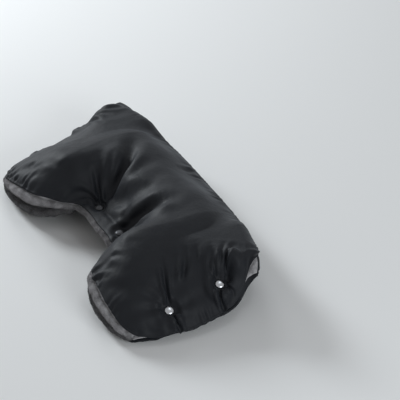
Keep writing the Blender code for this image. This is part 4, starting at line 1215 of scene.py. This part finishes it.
def plush_finish(name, dark):
    """Short pile, with its colours darkened by a factor."""
    plush = Finish(name, Sheen_Weight=0.5, Sheen_Roughness=0.5, Sheen_Tint=(0.9, 0.9, 0.92, 1),
                   Roughness=0.95, Specular_IOR_Level=0.2)
    place = plush.place()
    clump, fine = plush.noise(place, *CLUMP), plush.noise(place, *HAIRS)
    tones = [(at, [dark * part for part in colour]) for at, colour in PILE_TONES]
    plush.feed("Base Color", plush.ramp(clump * CLUMP_SHARE + fine * (1 - CLUMP_SHARE), tones))
    plush.feed("Normal", plush.bump(clump * 0.5 + fine * 0.5, PILE_DEPTH, 0.9))
    return plush.material


# The second copy is the lower lips' pile, darkened as painted shade.
pile, lip_painted_shade_pile = plush_finish("grey_pile", 1.0), plush_finish("grey_pile_painted_shade", LIP_PAINTED_SHADE)
print("piles", pile.name, lip_painted_shade_pile.name)

# %% [markdown]
# Caps and backs are gunmetal, sockets and studs nickel. Metal parts this small are tumbled, so
# they are smooth with a faint tarnish and fine scratches. The two waist caps lie deep in their
# puckers, and the shade there is painted into them as a nearly black, duller gunmetal.

# %% Metal of the press studs
TARNISHED, TARNISH_ROUGHNESS, SCRATCH_DEPTH, TARNISH, SCRATCH = 0.78, 0.12, 0.00004, (900, 4), (4000, 2)


def metal_finish(name, colour, rough):
    """Tumbled metal with a faint tarnish."""
    metal = Finish(name, Metallic=1.0)
    place = metal.place()
    tarnish, scratch = metal.noise(place, *TARNISH), metal.noise(place, *SCRATCH)
    tarnished = [TARNISHED * part for part in colour]
    metal.feed("Base Color", metal.ramp(tarnish, ((0.3, tarnished), (0.7, colour))))
    metal.feed("Roughness", rough + tarnish * TARNISH_ROUGHNESS)
    metal.feed("Normal", metal.bump(scratch, SCRATCH_DEPTH, 0.4))
    return metal.material


gunmetal = metal_finish("snap_gunmetal", (0.40, 0.41, 0.43), 0.14)
# The waist caps' nearly black colour is painted shade for the puckers they sit in.
waist_cap_painted_shade_gunmetal = metal_finish("snap_gunmetal_painted_shade", (0.045, 0.046, 0.05), 0.34)
nickel = metal_finish("snap_nickel", (0.74, 0.72, 0.68), 0.24)
print("metals", gunmetal.name, waist_cap_painted_shade_gunmetal.name, nickel.name)

# %% [markdown]
# Each piece takes the finish of what it is made of. The packed press stud pieces keep their
# shapes and only change their material.

# %% Finishes on the pieces
for piece in (cover_cloth, base_cloth, seam_tape):
    piece.data.materials.append(shell_cloth)
for piece in [cover_plush, base_plush] + plush_rolls:
    # The base's lip rolls take the darkened pile, painted shade from the cover's lip rolls above them.
    piece.data.materials.append(lip_painted_shade_pile if piece.name.startswith("base_lip") else pile)
for name, cap in caps.items():
    # The waist caps take the darker gunmetal as painted shade.
    cap.data.materials.append(waist_cap_painted_shade_gunmetal if name.startswith("waist") else gunmetal)
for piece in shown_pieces():
    if piece.name.startswith("snap"):
        dark = piece.name.startswith(("snap_cap", "snap_back"))
        piece.material_slots[0].material = gunmetal if dark else nickel

# %% [markdown]
# The muff stands in a pale room on a pale matt floor. The camera sees the room at full strength,
# and so do the shines on metal and cloth. Everything else gets a dimmer light from it, so that
# the lamps do the modelling and the floor keeps the shadow.

# %% Room and floor
ROOM_LIGHT, ROOM_SEEN, FLOOR_HALF, FLOOR_LEVEL = 0.21, (0.8, 0.8, 0.8, 1), 4, -0.0005
FLOOR_COLOUR, FLOOR_ROUGHNESS = (0.86, 0.86, 0.86, 1), 0.8
scene = bpy.context.scene
scene.view_settings.view_transform = "Standard"
world = bpy.data.worlds.new("studio")
scene.world = world
world.use_nodes = True
tree = world.node_tree
sky = tree.nodes["Background"]
sky.inputs["Color"].default_value = (1, 1, 1, 1)
sky.inputs["Strength"].default_value = ROOM_LIGHT
seen = tree.nodes.new("ShaderNodeBackground")
seen.inputs["Color"].default_value = ROOM_SEEN
rays = tree.nodes.new("ShaderNodeLightPath")
mix = tree.nodes.new("ShaderNodeMixShader")
shown_to = rays.outputs["Is Camera Ray"]
for kind in ("Is Glossy Ray", "Is Transmission Ray"):
    either = tree.nodes.new("ShaderNodeMath")
    either.operation = "MAXIMUM"
    tree.links.new(either.inputs[0], shown_to)
    tree.links.new(either.inputs[1], rays.outputs[kind])
    shown_to = either.outputs[0]
tree.links.new(mix.inputs["Fac"], shown_to)
tree.links.new(mix.inputs[1], sky.outputs[0])
tree.links.new(mix.inputs[2], seen.outputs[0])
tree.links.new(tree.nodes["World Output"].inputs["Surface"], mix.outputs[0])

corners = [(x * FLOOR_HALF, y * FLOOR_HALF, 0) for x, y in ((-1, -1), (1, -1), (1, 1), (-1, 1))]
floor = new_piece("studio_floor", corners, [(0, 1, 2, 3)])
floor.location.z = FLOOR_LEVEL
floor_finish = Finish("studio_floor", Base_Color=FLOOR_COLOUR, Roughness=FLOOR_ROUGHNESS)
floor.data.materials.append(floor_finish.material)
print("room light", ROOM_LIGHT, "and a floor of", 2 * FLOOR_HALF, "m")

# %% [markdown]
# The muff is lit like a catalogue picture: a soft key lamp from the user's left, which draws the
# long soft shines on the far lobe and the crest, and a broader, weaker lamp from the right, which
# fills the near lobe. Two weak lamps behind and above lift the upper edges. All are slightly
# blue, because the photograph's shines are.

# %% Lamps
LAMP_COLOUR, LAMP_AIM = (0.91, 0.965, 1.0), Vector((0, 0, 0.05))
# Place, size of the square and watts
LAMPS = {"key_lamp": ((-2.00, -0.55, 1.05), 0.6, 38), "back_lamp": ((-1.8, 0.6, 1.4), 0.8, 7),
         "top_lamp": ((0.1, 0.75, 2.0), 0.5, 2), "side_lamp": ((1.9, 0.3, 0.8), 1.0, 16)}
for name, (place, size, power) in LAMPS.items():
    light = bpy.data.lights.new(name, "AREA")
    light.size, light.energy, light.color = size, power, LAMP_COLOUR
    holder = bpy.data.objects.new(name, light)
    bpy.context.collection.objects.link(holder)
    holder.location = place
    holder.rotation_mode = "QUATERNION"
    holder.rotation_quaternion = (LAMP_AIM - Vector(place)).to_track_quat("-Z", "Y")
print("lamps", list(LAMPS))

# %% [markdown]
# The camera has the photograph's viewing angle, high on the muff's right, with a long lens. Its
# direction comes from the four visible press studs and the outline in the photograph, and its
# distance from the size of a photograph's pixel at the muff.

# %% Camera
AZIMUTH, ELEVATION, ROLL = math.radians(63.5), math.radians(37), math.radians(-2)
# Side of the photograph, focal length and the place of the channel's middle, all in pixels
IMAGE, FOCAL, SIGHT_X, SIGHT_Y = 400, 1784.0, 183.2, 183.8
PIXEL, SENSOR, FAR_CLIP = 0.00153, 36, 20
right = Vector((math.cos(AZIMUTH), math.sin(AZIMUTH), 0))
ahead = Vector((-math.sin(AZIMUTH) * math.cos(ELEVATION), math.cos(AZIMUTH) * math.cos(ELEVATION),
                -math.sin(ELEVATION)))
up = right.cross(ahead)
right, up = right * math.cos(ROLL) + up * math.sin(ROLL), up * math.cos(ROLL) - right * math.sin(ROLL)
sight = ahead + right * ((SIGHT_X - IMAGE / 2) / FOCAL) - up * ((SIGHT_Y - IMAGE / 2) / FOCAL)
stand = Vector(SHIFT) - sight * FOCAL * PIXEL
lens = bpy.data.cameras.new("camera")
lens.sensor_width, lens.lens, lens.clip_end = SENSOR, SENSOR * FOCAL / IMAGE, FAR_CLIP
camera = bpy.data.objects.new("camera", lens)
bpy.context.collection.objects.link(camera)
camera.matrix_world = Matrix.Translation(stand) @ Matrix((right, up, -ahead)).transposed().to_4x4()
scene.camera = camera
print("camera at", [round(c, 2) for c in stand], "lens", round(lens.lens), "mm")

# %% Finish
bpy.context.view_layer.update()
